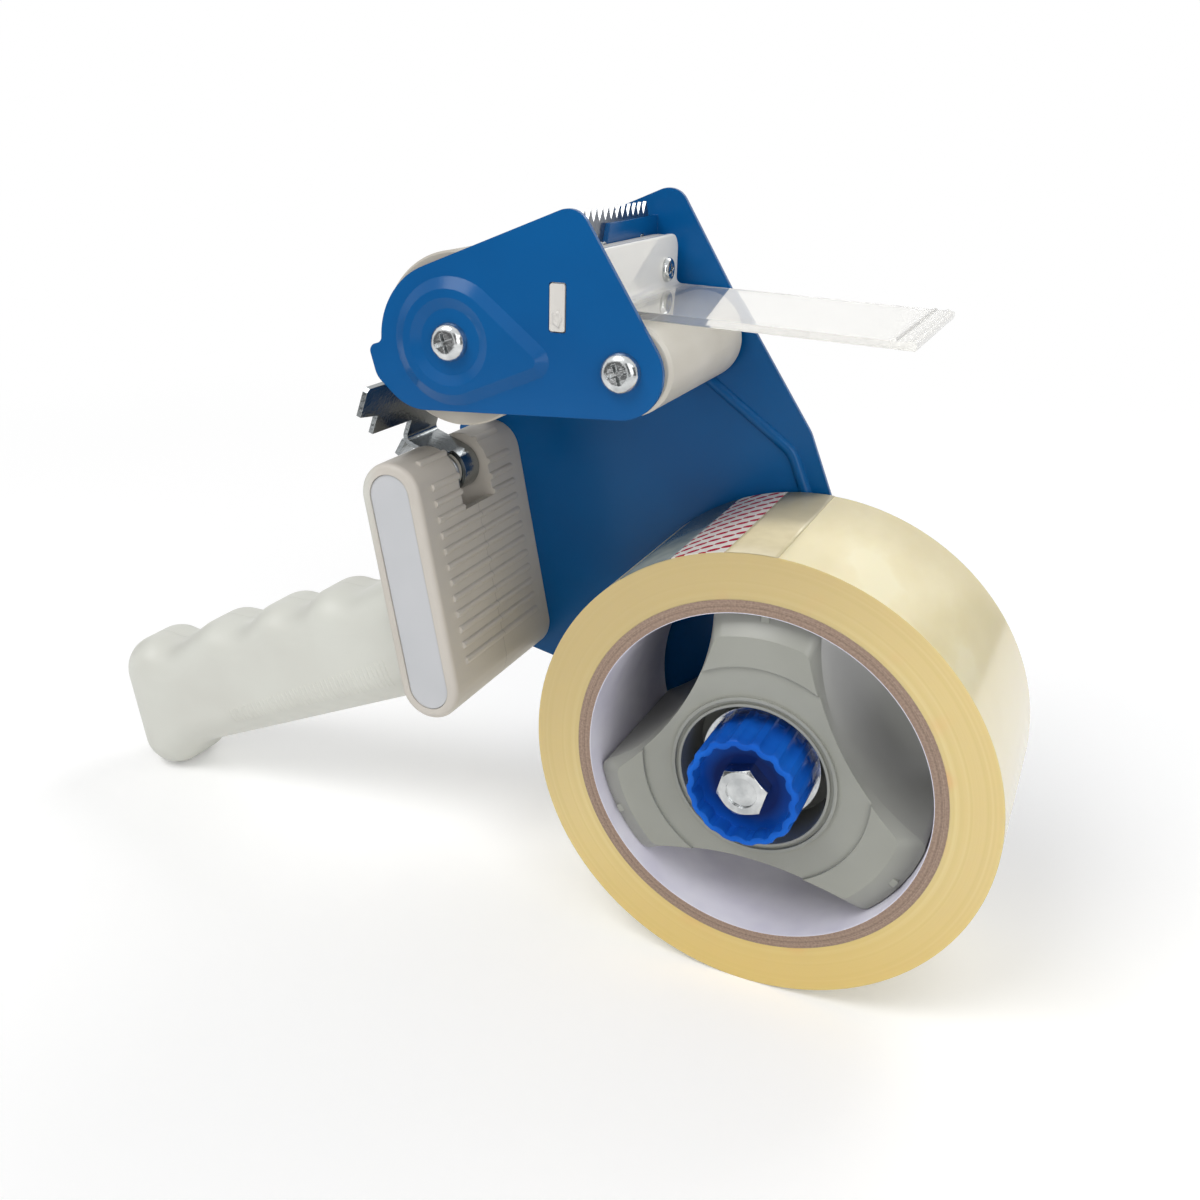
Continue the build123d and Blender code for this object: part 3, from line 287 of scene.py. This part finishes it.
def wound_tape(edge, face):
    """Wound clear film with its glue: honey yellow where its edges add up, paler and streaky outside.
    The layers are 0.045 mm thick, too fine to show, so the rings are drawn about 1 mm apart."""
    material, tree, shader, coords = start("wound_clear_film_tape")
    radius, offset = radius_from_hub(tree, coords)
    rings = add(tree, "ShaderNodeTexNoise", {"noise_dimensions": "1D"}, {"Scale": 1.0, "Detail": 3.0},
                W=radius)
    honey = ramp(tree, rings.outputs["Fac"],
                 [(0.2, linear("#D6C184")), (0.55, edge), (0.9, linear("#E2D19A"))])
    # Warm stains in the glue near the core
    stain = add(tree, "ShaderNodeMapRange", None, {"From Min": 47.0, "From Max": 41.0}, Value=radius)
    spots = add(tree, "ShaderNodeMapRange", {"interpolation_type": "SMOOTHSTEP"},
                {"From Min": 0.56, "From Max": 0.72}, Value=grain(tree, coords, 13.0, 1.0))
    both = add(tree, "ShaderNodeMath", {"operation": "MULTIPLY"},
               _0=stain.outputs[0], _1=spots.outputs[0])
    honey = blend_colour(tree, both.outputs[0], honey, linear("#E2B27E"))
    # Painted shade and painted blue show-through: darker towards the frame plate, whose blue shows through
    # the film there
    side = add(tree, "ShaderNodeVectorMath", {"operation": "DOT_PRODUCT"}, {1: (-0.6, 0.0, 0.8)}, _0=offset)
    shadow = add(tree, "ShaderNodeMapRange", {"interpolation_type": "SMOOTHSTEP"},
                 {"From Min": -5.0, "From Max": 50.0, "To Max": 0.75}, Value=side.outputs["Value"])
    honey = blend_colour(tree, shadow.outputs[0], honey, linear("#BCA878"))
    # Air under the outer turn leaves paler islands with crisp shores
    streak = add(tree, "ShaderNodeVectorMath", {"operation": "MULTIPLY"}, {1: (1.0, 0.45, 1.0)}, _0=coords)
    islands = grain(tree, streak.outputs[0], 34.0, 5.0)
    outside = ramp(tree, islands, [(0.36, linear("#DBCD9D")), (0.5, face), (0.6, linear("#E9DEB6")),
                                   (0.63, linear("#ECE3BF"))])
    # Painted light: paler away from the frame, where the white ground shines through the film
    painted_light_side = add(tree, "ShaderNodeVectorMath", {"operation": "DOT_PRODUCT"}, {1: (0.95, 0.0, -0.3)},
                    _0=offset)
    pale = add(tree, "ShaderNodeMapRange", {"interpolation_type": "SMOOTHSTEP"},
               {"From Min": 20.0, "From Max": 54.0, "To Max": 0.85}, Value=painted_light_side.outputs["Value"])
    outside = blend_colour(tree, pale.outputs[0], outside, linear("#EBE2C8"))
    # Painted shade: deeper at the foot of the roll, where little light comes through the film
    foot = add(tree, "ShaderNodeVectorMath", {"operation": "DOT_PRODUCT"}, {1: (0.1, 0.0, -1.0)}, _0=offset)
    deep = add(tree, "ShaderNodeMapRange", {"interpolation_type": "SMOOTHSTEP"},
               {"From Min": 10.0, "From Max": 52.0, "To Max": 0.7}, Value=foot.outputs["Value"])
    honey = blend_colour(tree, deep.outputs[0], honey, linear("#D8BB6E"))
    flat = end_face(tree)
    tint = blend_colour(tree, flat, outside, honey)
    tree.links.new(tint, shader.inputs["Base Color"])
    rough = add(tree, "ShaderNodeMapRange", None, {"To Min": 0.14, "To Max": 0.34}, Value=flat)
    tree.links.new(rough.outputs[0], shader.inputs["Roughness"])
    shade(shader, IOR=1.49, Specular_IOR_Level=0.35, Subsurface_Weight=0.2,
          Subsurface_Radius=(0.004, 0.003, 0.001), Subsurface_Scale=1.0)
    relief(tree, shader, rings.outputs["Fac"], 0.03, 0.1, 0.3)
    return material


def core_board():
    """Wound cardboard: grey brown fibres, and a few plies that show as rings on the cut ends."""
    material, tree, shader, coords = start("wound_grey_cardboard")
    radius, _ = radius_from_hub(tree, coords)
    plies = add(tree, "ShaderNodeTexNoise", {"noise_dimensions": "1D"}, {"Scale": 1.6, "Detail": 2.0},
                W=radius)
    fibre = grain(tree, coords, 0.5, 4.0)
    mix = add(tree, "ShaderNodeMath", {"operation": "MULTIPLY_ADD"}, {1: 0.5}, _0=plies.outputs["Fac"])
    half = add(tree, "ShaderNodeMath", {"operation": "MULTIPLY"}, {1: 0.5}, _0=fibre)
    tree.links.new(half.outputs[0], mix.inputs[2])
    tint = ramp(tree, mix.outputs[0],
                [(0.3, linear("#766557")), (0.52, linear("#968071")), (0.75, linear("#B09C8C"))])
    tree.links.new(tint, shader.inputs["Base Color"])
    shade(shader, Roughness=0.9)
    relief(tree, shader, fibre, 0.15, 0.6)
    return material


def liner_paper():
    """Machine glazed white paper lining the core, with a faint cool mottle."""
    material, tree, shader, coords = start("glazed_white_paper")
    tint = ramp(tree, grain(tree, coords, 9.0, 2.0), [(0.3, linear("#E2DFEE")), (0.7, linear("#EEECF7"))])
    tree.links.new(tint, shader.inputs["Base Color"])
    shade(shader, Roughness=0.55)
    relief(tree, shader, grain(tree, coords, 0.8, 3.0), 0.02, 0.4)
    return material


def dashed_paper():
    """White starter paper under film. Plain red dashes 2.4 mm long stand in columns, 5 mm apart, and each
    column starts a little further along than the one before."""
    material, tree, shader, coords = start("printed_starter_paper")
    radius, offset = radius_from_hub(tree, coords)
    parts = add(tree, "ShaderNodeSeparateXYZ", _0=offset)
    angle = add(tree, "ShaderNodeMath", {"operation": "ARCTAN2"},
                _0=parts.outputs["X"], _1=parts.outputs["Z"])
    arc = add(tree, "ShaderNodeMath", {"operation": "MULTIPLY"}, _0=angle.outputs[0], _1=radius)
    columns = add(tree, "ShaderNodeMath", {"operation": "DIVIDE"}, {1: DASH_COLUMN}, _0=arc.outputs[0])
    column = add(tree, "ShaderNodeMath", {"operation": "FLOOR"}, _0=columns.outputs[0])
    across = add(tree, "ShaderNodeMath", {"operation": "FRACT"}, _0=columns.outputs[0])
    place = add(tree, "ShaderNodeMath", {"operation": "MULTIPLY_ADD"}, {1: -DASH_STAGGER},
                _0=column.outputs[0], _2=parts.outputs["Y"])
    place = add(tree, "ShaderNodeMath", {"operation": "MULTIPLY_ADD"}, {1: -DASH_LEAN},
                _0=across.outputs[0], _2=place.outputs[0])
    steps = add(tree, "ShaderNodeMath", {"operation": "DIVIDE"}, {1: DASH_PITCH}, _0=place.outputs[0])
    along = add(tree, "ShaderNodeMath", {"operation": "FRACT"}, _0=steps.outputs[0])
    cell = add(tree, "ShaderNodeCombineXYZ", _0=across.outputs[0], _1=along.outputs[0])
    middle = add(tree, "ShaderNodeVectorMath", {"operation": "SUBTRACT"}, {1: (0.5, 0.5, 0.0)},
                 _0=cell.outputs[0])
    oval = add(tree, "ShaderNodeVectorMath", {"operation": "DIVIDE"}, {1: DASH_HALF_SIZE},
               _0=middle.outputs[0])
    size = add(tree, "ShaderNodeVectorMath", {"operation": "LENGTH"}, _0=oval.outputs[0])
    dash = add(tree, "ShaderNodeMath", {"operation": "LESS_THAN"}, {1: 1.0}, _0=size.outputs["Value"])
    tint = blend_colour(tree, dash.outputs[0], linear("#E9E4DA"), linear("#B0222E"))
    tree.links.new(tint, shader.inputs["Base Color"])
    shade(shader, Roughness=0.22, Specular_IOR_Level=0.4)
    relief(tree, shader, grain(tree, coords, 4.0), 0.02, 0.3)
    return material


def tail_film(name, dark, light, roughness):
    """Film that lies on the roll as a layer of its own, darker and greyer than the outside of the roll."""
    material, tree, shader, coords = start(name)
    tint = ramp(tree, grain(tree, coords, 5.0), [(0.3, linear(dark)), (0.7, linear(light))])
    tree.links.new(tint, shader.inputs["Base Color"])
    shade(shader, Roughness=roughness, IOR=1.49)
    relief(tree, shader, grain(tree, coords, 7.0), 0.08, 0.4)
    return material


def handle_plastic():
    """Moulded ABS handle: light warm grey on the grip, a little rosier and darker on the box as painted
    shade and painted warm bounce light, with a fine line where the two shells meet."""
    material, tree, shader, coords = start("moulded_warm_grey_abs")
    cloud = grain(tree, coords, 22.0)
    grip = ramp(tree, cloud, [(0.3, linear("#CCCCC4")), (0.7, linear("#D2D3CB"))])
    # Painted shade and painted warm bounce light: the box is a little darker and rosier than the grip
    case = ramp(tree, cloud, [(0.3, linear("#C1BBB2")), (0.7, linear("#C8C2B9"))])
    parts = add(tree, "ShaderNodeSeparateXYZ", _0=coords)
    across = add(tree, "ShaderNodeMapRange", {"interpolation_type": "SMOOTHSTEP"},
                 {"From Min": BOX_EDGE_X / MM - BOX_FADE, "From Max": BOX_EDGE_X / MM + BOX_FADE},
                 Value=parts.outputs["X"])
    tint = blend_colour(tree, across.outputs[0], grip, case)
    seam = add(tree, "ShaderNodeMath", {"operation": "COMPARE"}, {1: MID_Y / MM, 2: SEAM_HALF},
               _0=parts.outputs["Y"])
    seam = add(tree, "ShaderNodeMath", {"operation": "MULTIPLY"}, {1: 0.6}, _0=seam.outputs[0])
    seam = add(tree, "ShaderNodeMath", {"operation": "MULTIPLY"},
               _0=seam.outputs[0], _1=across.outputs[0])
    tint = blend_colour(tree, seam.outputs[0], tint, linear("#8B867F"))
    tree.links.new(tint, shader.inputs["Base Color"])
    shade(shader, Roughness=0.42, IOR=1.5)
    relief(tree, shader, grain(tree, coords, 0.5), 0.03, 0.5, 0.4)
    return material


def knob_plastic(colour):
    """Moulded blue polypropylene. Light that enters the rim leaves it brighter than the cup's floor, and
    this is painted in as shade on the cup's floor.
    """
    material, tree, shader, coords = start("moulded_blue_polypropylene")
    tint = ramp(tree, grain(tree, coords, 9.0), [(0.3, linear("#1455B8")), (0.7, colour)])
    radius, _ = radius_from_hub(tree, coords)
    rim = add(tree, "ShaderNodeMapRange", None, {"From Min": KNOB_CUP, "From Max": KNOB_RIM},
              Value=radius)
    # Painted shade: the cup's floor is painted a darker blue than the rim
    tint = blend_colour(tree, rim.outputs[0], linear("#092562"), tint)
    tree.links.new(tint, shader.inputs["Base Color"])
    shade(shader, Roughness=0.22, IOR=1.49, Specular_IOR_Level=0.08)
    relief(tree, shader, grain(tree, coords, 1.0), 0.02, 0.4, 0.4)
    return material


def dress(material, *nodes):
    """Gives each of these CAD nodes one material all over."""
    for name in nodes:
        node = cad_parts[name]
        node.data.materials.clear()
        node.data.materials.append(material)


def new_piece(name, mesh, material, body):
    """Links a new mesh object that rides on a CAD body."""
    piece = bpy.data.objects.new(name, mesh)
    bpy.context.scene.collection.objects.link(piece)
    mesh.materials.append(material)
    for face in mesh.polygons:
        face.use_smooth = True
    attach(piece, body)
    return piece


class DispenserSettings(bpy.types.PropertyGroup):
    """Colours and sizes that a user would change."""
    enamel: bpy.props.FloatVectorProperty(
        name="Enamel", description="Colour of the enamelled frame", subtype="COLOR", size=4,
        min=0.0, max=1.0, default=linear("#045794"))
    knob: bpy.props.FloatVectorProperty(
        name="Knob", description="Colour of the brake knob", subtype="COLOR", size=4,
        min=0.0, max=1.0, default=linear("#1A66CC"))
    tape_edge: bpy.props.FloatVectorProperty(
        name="Tape edge", description="Colour of the edges of the wound film", subtype="COLOR", size=4,
        min=0.0, max=1.0, default=linear("#DCC68C"))
    tape_face: bpy.props.FloatVectorProperty(
        name="Tape face", description="Colour of the outside of the roll", subtype="COLOR", size=4,
        min=0.0, max=1.0, default=linear("#E2D5A9"))
    tail_sweep: bpy.props.FloatProperty(
        name="Tail", description="How far the folded end of the film reaches round the roll",
        subtype="ANGLE", unit="ROTATION", default=math.radians(15.0))
    band_sweep: bpy.props.FloatProperty(
        name="Band", description="How far the stuck-down end of the film shows in front of the strip",
        subtype="ANGLE", unit="ROTATION", default=math.radians(12.5))
    palm_ribs: bpy.props.IntProperty(
        name="Palm ribs", description="Number of fine ribs under the palm", default=40, min=0)
    rib_pitch: bpy.props.FloatProperty(
        name="Rib pitch", description="Distance from one palm rib to the next",
        subtype="DISTANCE", unit="LENGTH", default=1.55 * MM)


class DISPENSER_OT_frame_plates(bpy.types.Operator):
    """Enamels the frame plate and the head plate"""
    bl_idname = "dispenser.frame_plates"
    bl_label = "Frame Plates"

    def execute(self, context):
        enamel = blue_enamel(tuple(context.scene.dispenser.enamel))
        dress(enamel, "main_side_plate", "head_side_plate")
        return {"FINISHED"}


class DISPENSER_OT_handle(bpy.types.Operator):
    """Finishes the handle shells, the label panel and the palm ribs"""
    bl_idname = "dispenser.handle"
    bl_label = "Handle"

    def execute(self, context):
        dress(handle_plastic(), "handle_near_shell", "handle_far_shell")
        add_palm_ribs(context.scene.dispenser)
        panel = moulded("smooth_cool_grey_plate", "#C4C5C8", "#BDBFC2", 0.5, 0.3, 0.01)
        dress(panel, "label_panel")
        return {"FINISHED"}


class DISPENSER_OT_rollers(bpy.types.Operator):
    """Finishes both rollers and their bushes"""
    bl_idname = "dispenser.rollers"
    bl_label = "Rollers"

    def execute(self, context):
        dress(roller_rubber(), "roller_sleeve")
        cream = moulded("turned_white_acetal", "#D3CFC6", "#C6C1B6", 0.35, 0.6, 0.02)
        dress(cream, "roller_core", "guide_roller", "lever_bush", "hub_bush")
        return {"FINISHED"}


class DISPENSER_OT_wiper(bpy.types.Operator):
    """Finishes the wiper and the bar that holds it"""
    bl_idname = "dispenser.wiper"
    bl_label = "Wiper"

    def execute(self, context):
        dress(clear_acetate(), "wiper")
        bar = moulded("moulded_white_abs", "#D6D3CE", "#CAC7C1", 0.4, 0.5, 0.02)
        dress(bar, "wiper_bar")
        add_peened_mark(bar)
        return {"FINISHED"}


class DISPENSER_OT_metal(bpy.types.Operator):
    """Finishes the screws, axles, washers, springs, lever and blade, and adds the brake spring's coil"""
    bl_idname = "dispenser.metal"
    bl_label = "Metal"

    def execute(self, context):
        dress(zinc_plate("dull_zinc_plated_sheet", "#84888A", "#A4A8A9", 16.0), "comb_lever")
        dress(zinc_plate("bright_zinc_plated_steel", "#B6B9BA", "#DCDEDE", 3.0),
              "axle_screws", "shell_screws", "handle_screws", "wiper_screws", "thrust_washer",
              "brake_washer", "hub_bolt", "roller_axle", "guide_axle", "lever_pin", "blade_rivets",
              "hub_spindle")
        steel = spring_steel()
        dress(steel, "lever_spring", "brake_spring", "cutting_blade")
        add_brake_coil(steel)
        return {"FINISHED"}


class DISPENSER_OT_holder(bpy.types.Operator):
    """Finishes the core holder and the brake knob"""
    bl_idname = "dispenser.holder"
    bl_label = "Core Holder"

    def execute(self, context):
        dress(moulded("moulded_mid_grey_nylon", "#999A92", "#8E8F87", 0.3, 0.6, 0.02), "core_holder")
        dress(knob_plastic(tuple(context.scene.dispenser.knob)), "adjusting_knob")
        return {"FINISHED"}


class DISPENSER_OT_tape(bpy.types.Operator):
    """Finishes the roll, its core and its strip, and adds the end of the film on both sides of the strip"""
    bl_idname = "dispenser.tape"
    bl_label = "Tape"

    def execute(self, context):
        settings = context.scene.dispenser
        dress(wound_tape(tuple(settings.tape_edge), tuple(settings.tape_face)), "tape_roll")
        dress(core_board(), "tape_core")
        dress(liner_paper(), "core_liner")
        dress(dashed_paper(), "starter_strip")
        low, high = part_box("starter_strip")
        left, right = strip_angle(low[0]), strip_angle(high[0])
        add_film_sheet("film_tail", left, left + settings.tail_sweep,
                       tail_film("folded_film_end", "#5F6E77", "#7D8686", 0.18))
        add_film_sheet("film_band", right - settings.band_sweep, right,
                       tail_film("stuck_down_film", "#CBBF9C", "#D6CBA9", 0.3))
        return {"FINISHED"}


class DISPENSER_OT_stage(bpy.types.Operator):
    """Adds the floor, the dark cards, the lamps, the world light and the camera"""
    bl_idname = "dispenser.stage"
    bl_label = "Stage"

    def execute(self, context):
        build_floor()
        build_cards()
        build_lamps()
        build_world(context.scene)
        build_camera(context.scene)
        context.scene.view_settings.view_transform = "Standard"
        return {"FINISHED"}


def strip_angle(x):
    """Angle round the roll, from +X towards +Z, of the edge of the starter strip at this x."""
    return math.acos((x - ROLL_X) / ROLL_RADIUS)


def add_film_sheet(name, start_angle, end_angle, material):
    """A thin curved sheet of film, laid on the outside of the roll from edge to edge."""
    sheet = bmesh.new()
    inner, outer = ROLL_RADIUS - FILM_SUNK, ROLL_RADIUS + FILM_RISE
    section = ((inner, ROLL_NEAR), (outer, ROLL_NEAR), (outer, ROLL_FAR), (inner, ROLL_FAR))
    rows = []
    for n in range(FILM_STEPS + 1):
        angle = start_angle + (end_angle - start_angle) * n / FILM_STEPS
        rows.append([sheet.verts.new((ROLL_X + r * math.cos(angle), y, ROLL_Z + r * math.sin(angle)))
                     for r, y in section])
    close_tube(sheet, rows)
    new_piece(name, finish_mesh(sheet, name), material, "roll")


def close_tube(mesh, rows):
    """Faces between rows of vertices that go round a tube, and a face at each end."""
    for before, after in zip(rows, rows[1:]):
        for k in range(len(before)):
            j = (k + 1) % len(before)
            mesh.faces.new((before[k], before[j], after[j], after[k]))
    mesh.faces.new(rows[0])
    mesh.faces.new(rows[-1])


def finish_mesh(mesh, name):
    """Turns all faces outwards and makes it a mesh."""
    bmesh.ops.recalc_face_normals(mesh, faces=mesh.faces)
    data = bpy.data.meshes.new(name)
    mesh.to_mesh(data)
    mesh.free()
    return data


def grip_place(along, up, y):
    """A point of the grip: along its axis from under the hub, and up across it, in millimetres."""
    a = GRIP_ANGLE
    return from_hub(-along * math.cos(a) - up * math.sin(a), y, -along * math.sin(a) + up * math.cos(a))


def add_palm_ribs(settings):
    """Fine ribs round the lower edge of the grip on both sides, longest beside the box."""
    ribs = bmesh.new()
    for side in (-1.0, 1.0):
        for n in range(settings.palm_ribs):
            along = RIB_START + n * settings.rib_pitch / MM
            add_rib(ribs, along, side, 1.0 - n / settings.palm_ribs)
    new_piece("palm_ribs", finish_mesh(ribs, "palm_ribs"), handle_plastic(), "frame")


def add_rib(mesh, along, side, size):
    """One rib: down the flat side, then round the rounded lower edge, thin at both ends."""
    path = [(GRIP_EDGE + RIB_CLIMB * size + RIB_SHORTEST, 0.0),
            (GRIP_EDGE + RIB_CLIMB / 2 * size + RIB_SHORTEST / 2, 0.0)]
    path += [(GRIP_EDGE, turn) for turn in RIB_TURNS]
    rows = []
    for k, (up, turn) in enumerate(path):
        thick = RIB_RADIUS * (RIB_TIP if k in (0, len(path) - 1) else 1.0)
        reach = GRIP_ROUNDING - RIB_RADIUS + RIB_RISE
        rows.append([])
        for n in range(RIB_SIDES):
            a = 2 * math.pi * n / RIB_SIDES
            out = reach + thick * math.cos(a)
            y = GRIP_MID_Y + side * (GRIP_HALF - GRIP_ROUNDING + out * math.cos(turn))
            point = grip_place(along + thick * math.sin(a), up - out * math.sin(turn), y)
            rows[-1].append(mesh.verts.new(point))
    close_tube(mesh, rows)


def add_peened_mark(material):
    """The dent of a punch on the near end of the bar's tab, with a low uneven rim."""
    mark = bmesh.new()
    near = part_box("wiper_bar")[0][1]
    rows = []
    for width, rise in MARK_RINGS:
        rows.append([])
        for n, uneven in enumerate(MARK_UNEVEN):
            a = 2 * math.pi * n / len(MARK_UNEVEN)
            spot = from_hub(TAB_MIDDLE_X + width * uneven * math.cos(a), 0.0,
                            TAB_MARK_Z + MARK_STRETCH * width * uneven * math.sin(a))
            rows[-1].append(mark.verts.new((spot.x, near - rise * MM, spot.z)))
    close_tube(mark, rows)
    new_piece("peened_mark", finish_mesh(mark, "peened_mark"), material, "frame")


def add_brake_coil(material):
    """The brake spring again, as a piece of its own that rides on the hub in place of the CAD part."""
    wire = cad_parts["brake_spring"].data.copy()
    wire.materials.clear()
    coil = new_piece("brake_coil", wire, material, "hub")
    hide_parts("brake_spring")
    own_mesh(coil)


# Half the floor's size, and between which distances from the origin it fades into plain white (m)
FLOOR_SIZE, FLOOR_FADE = 6.0, (0.2, 0.75)
# The floor's own glow where it is looked at, and the world's strength as a light
FLOOR_GLOW, WORLD_LIGHT = 0.16, 0.42


def build_floor():
    """A wide pale floor that turns into plain white away from the object, in gloss and glass as well."""
    mesh = bpy.data.meshes.new("studio_floor")
    sheet = bmesh.new()
    bmesh.ops.create_grid(sheet, x_segments=1, y_segments=1, size=FLOOR_SIZE)
    sheet.to_mesh(mesh)
    sheet.free()
    floor = bpy.data.objects.new("studio_floor", mesh)
    bpy.context.scene.collection.objects.link(floor)
    material = bpy.data.materials.new("matt_white_paper_sweep")
    material.use_nodes = True
    tree = material.node_tree
    tree.nodes.clear()
    place = add(tree, "ShaderNodeTexCoord").outputs["Object"]
    far = add(tree, "ShaderNodeVectorMath", {"operation": "LENGTH"}, _0=place)
    fade = add(tree, "ShaderNodeMapRange", {"interpolation_type": "SMOOTHSTEP"},
               {"From Min": FLOOR_FADE[0], "From Max": FLOOR_FADE[1]}, Value=far.outputs["Value"])
    path = add(tree, "ShaderNodeLightPath")
    seen = add(tree, "ShaderNodeMath", {"operation": "MAXIMUM"},
               _0=path.outputs["Is Camera Ray"], _1=path.outputs["Is Glossy Ray"])
    seen = add(tree, "ShaderNodeMath", {"operation": "MAXIMUM"},
               _0=seen.outputs[0], _1=path.outputs["Is Transmission Ray"])
    lift = add(tree, "ShaderNodeMath", {"operation": "MULTIPLY"}, {1: FLOOR_GLOW}, _0=seen.outputs[0])
    glow = add(tree, "ShaderNodeEmission", None, {"Color": WHITE}, Strength=lift.outputs[0])
    paper = add(tree, "ShaderNodeBsdfDiffuse", None, {"Color": grey(0.9)})
    paper = add(tree, "ShaderNodeAddShader", _0=paper.outputs[0], _1=glow.outputs[0])
    white = add(tree, "ShaderNodeEmission", None, {"Color": WHITE, "Strength": 1.0})
    both = add(tree, "ShaderNodeMixShader", Fac=fade.outputs[0], _1=paper.outputs[0], _2=white.outputs[0])
    add(tree, "ShaderNodeOutputMaterial", Surface=both.outputs[0])
    mesh.materials.append(material)


LAMPS = (
    # name, place (m), width (m), power (W)
    ("key_softbox", (-0.6, -1.1, 1.75), 1.1, 20.5),
    ("fill_softbox", (1.15, -1.1, 0.6), 1.2, 8.5),
    ("rim_softbox", (0.5, 1.3, 1.3), 1.0, 9.0),
)
LAMP_AIM = Vector((0.0, 0.0, 0.07))


def build_lamps():
    for name, place, width, power in LAMPS:
        lamp = bpy.data.lights.new(name, "AREA")
        lamp.size = width
        lamp.energy = power
        holder = bpy.data.objects.new(name, lamp)
        holder.location = place
        holder.rotation_euler = (LAMP_AIM - Vector(place)).to_track_quat("-Z", "Y").to_euler()
        bpy.context.scene.collection.objects.link(holder)


def build_world(scene):
    """White behind the object and in its gloss and glass, and a softer white as its light."""
    world = bpy.data.worlds.new("studio_white")
    scene.world = world
    world.use_nodes = True
    tree = world.node_tree
    tree.nodes.clear()
    path = add(tree, "ShaderNodeLightPath")
    seen = add(tree, "ShaderNodeMath", {"operation": "MAXIMUM"},
               _0=path.outputs["Is Camera Ray"], _1=path.outputs["Is Transmission Ray"])
    seen = add(tree, "ShaderNodeMath", {"operation": "MAXIMUM"},
               _0=seen.outputs[0], _1=path.outputs["Is Glossy Ray"])
    light = add(tree, "ShaderNodeBackground", None, {"Color": WHITE, "Strength": WORLD_LIGHT})
    back = add(tree, "ShaderNodeBackground", None, {"Color": WHITE, "Strength": 1.0})
    both = add(tree, "ShaderNodeMixShader", Fac=seen.outputs[0], _1=light.outputs[0], _2=back.outputs[0])
    add(tree, "ShaderNodeOutputWorld", Surface=both.outputs[0])


# Dark studio cards round the object: from and to (degrees round from +X), bottom and top (m)
CARDS = (
    (-146.0, -96.0, 0.0, 0.36), (-84.0, -62.0, 0.05, 0.5), (-36.0, -4.0, 0.02, 0.4),
    (20.0, 60.0, 0.02, 0.4), (84.0, 130.0, 0.0, 0.14), (158.0, 186.0, 0.02, 0.42),
)
CARD_RADIUS, CARD_STEP, CARD_GREY = 0.62, 8.0, 0.12


def build_cards():
    """Dark cards that only gloss sees, so that metal and enamel keep their contrast on a white ground."""
    mesh = bmesh.new()
    for first, last, bottom, top in CARDS:
        count = math.ceil((last - first) / CARD_STEP)
        angles = [math.radians(first + (last - first) * n / count) for n in range(count + 1)]
        columns = [[mesh.verts.new((CARD_RADIUS * math.cos(a), CARD_RADIUS * math.sin(a), z))
                    for z in (bottom, top)] for a in angles]
        for left, right in zip(columns, columns[1:]):
            mesh.faces.new((left[0], right[0], right[1], left[1]))
    data = bpy.data.meshes.new("black_cards")
    mesh.to_mesh(data)
    mesh.free()
    cards = bpy.data.objects.new("black_cards", data)
    bpy.context.scene.collection.objects.link(cards)
    material = bpy.data.materials.new("matt_black_card")
    material.use_nodes = True
    tree = material.node_tree
    tree.nodes.clear()
    black = add(tree, "ShaderNodeEmission", None, {"Color": grey(CARD_GREY), "Strength": 1.0})
    add(tree, "ShaderNodeOutputMaterial", Surface=black.outputs[0])
    data.materials.append(material)
    cards.visible_camera = cards.visible_diffuse = cards.visible_transmission = cards.visible_shadow = False


def grey(level):
    return (level, level, level, 1.0)


CAMERA_PLACE = from_hub(61.743, -229.066, 136.070)
CAMERA_YAW, CAMERA_PITCH = math.radians(28.0), math.radians(-17.23)
CAMERA_LENS, CAMERA_SENSOR = 36.04, 36.0
CAMERA_SHIFT = (0.0778, -0.0869)


def build_camera(scene):
    """Camera found from the roll's circles and the frame's straight edges in the photograph."""
    data = bpy.data.cameras.new("photo_camera")
    data.lens = CAMERA_LENS
    data.sensor_width = CAMERA_SENSOR
    data.sensor_fit = "HORIZONTAL"
    data.shift_x, data.shift_y = CAMERA_SHIFT
    data.clip_start = 0.01
    camera = bpy.data.objects.new("photo_camera", data)
    camera.location = CAMERA_PLACE
    level = Euler((math.pi / 2 + CAMERA_PITCH, 0.0, CAMERA_YAW)).to_matrix()
    camera.rotation_euler = (HUB_TURN @ level).to_euler()
    scene.collection.objects.link(camera)
    scene.camera = camera


class DISPENSER_PT_panel(bpy.types.Panel):
    """Lists the dressing steps of the tape dispenser"""
    bl_idname = "DISPENSER_PT_panel"
    bl_label = "Tape Dispenser"
    bl_space_type = "VIEW_3D"
    bl_region_type = "UI"
    bl_category = "Dispenser"

    def draw(self, context):
        for name in DispenserSettings.__annotations__:
            self.layout.prop(context.scene.dispenser, name)
        for step in STEPS:
            self.layout.operator(step.bl_idname)


STEPS = (
    DISPENSER_OT_frame_plates, DISPENSER_OT_handle, DISPENSER_OT_rollers, DISPENSER_OT_wiper,
    DISPENSER_OT_metal, DISPENSER_OT_holder, DISPENSER_OT_tape, DISPENSER_OT_stage,
)
CLASSES = (DispenserSettings, *STEPS, DISPENSER_PT_panel)


def register():
    for cls in CLASSES:
        bpy.utils.register_class(cls)
    bpy.types.Scene.dispenser = bpy.props.PointerProperty(type=DispenserSettings)


def unregister():
    del bpy.types.Scene.dispenser
    for cls in reversed(CLASSES):
        bpy.utils.unregister_class(cls)


def main():
    register()
    for step in STEPS:
        group, name = step.bl_idname.split(".")
        getattr(getattr(bpy.ops, group), name)()


if __name__ == "__main__":
    main()
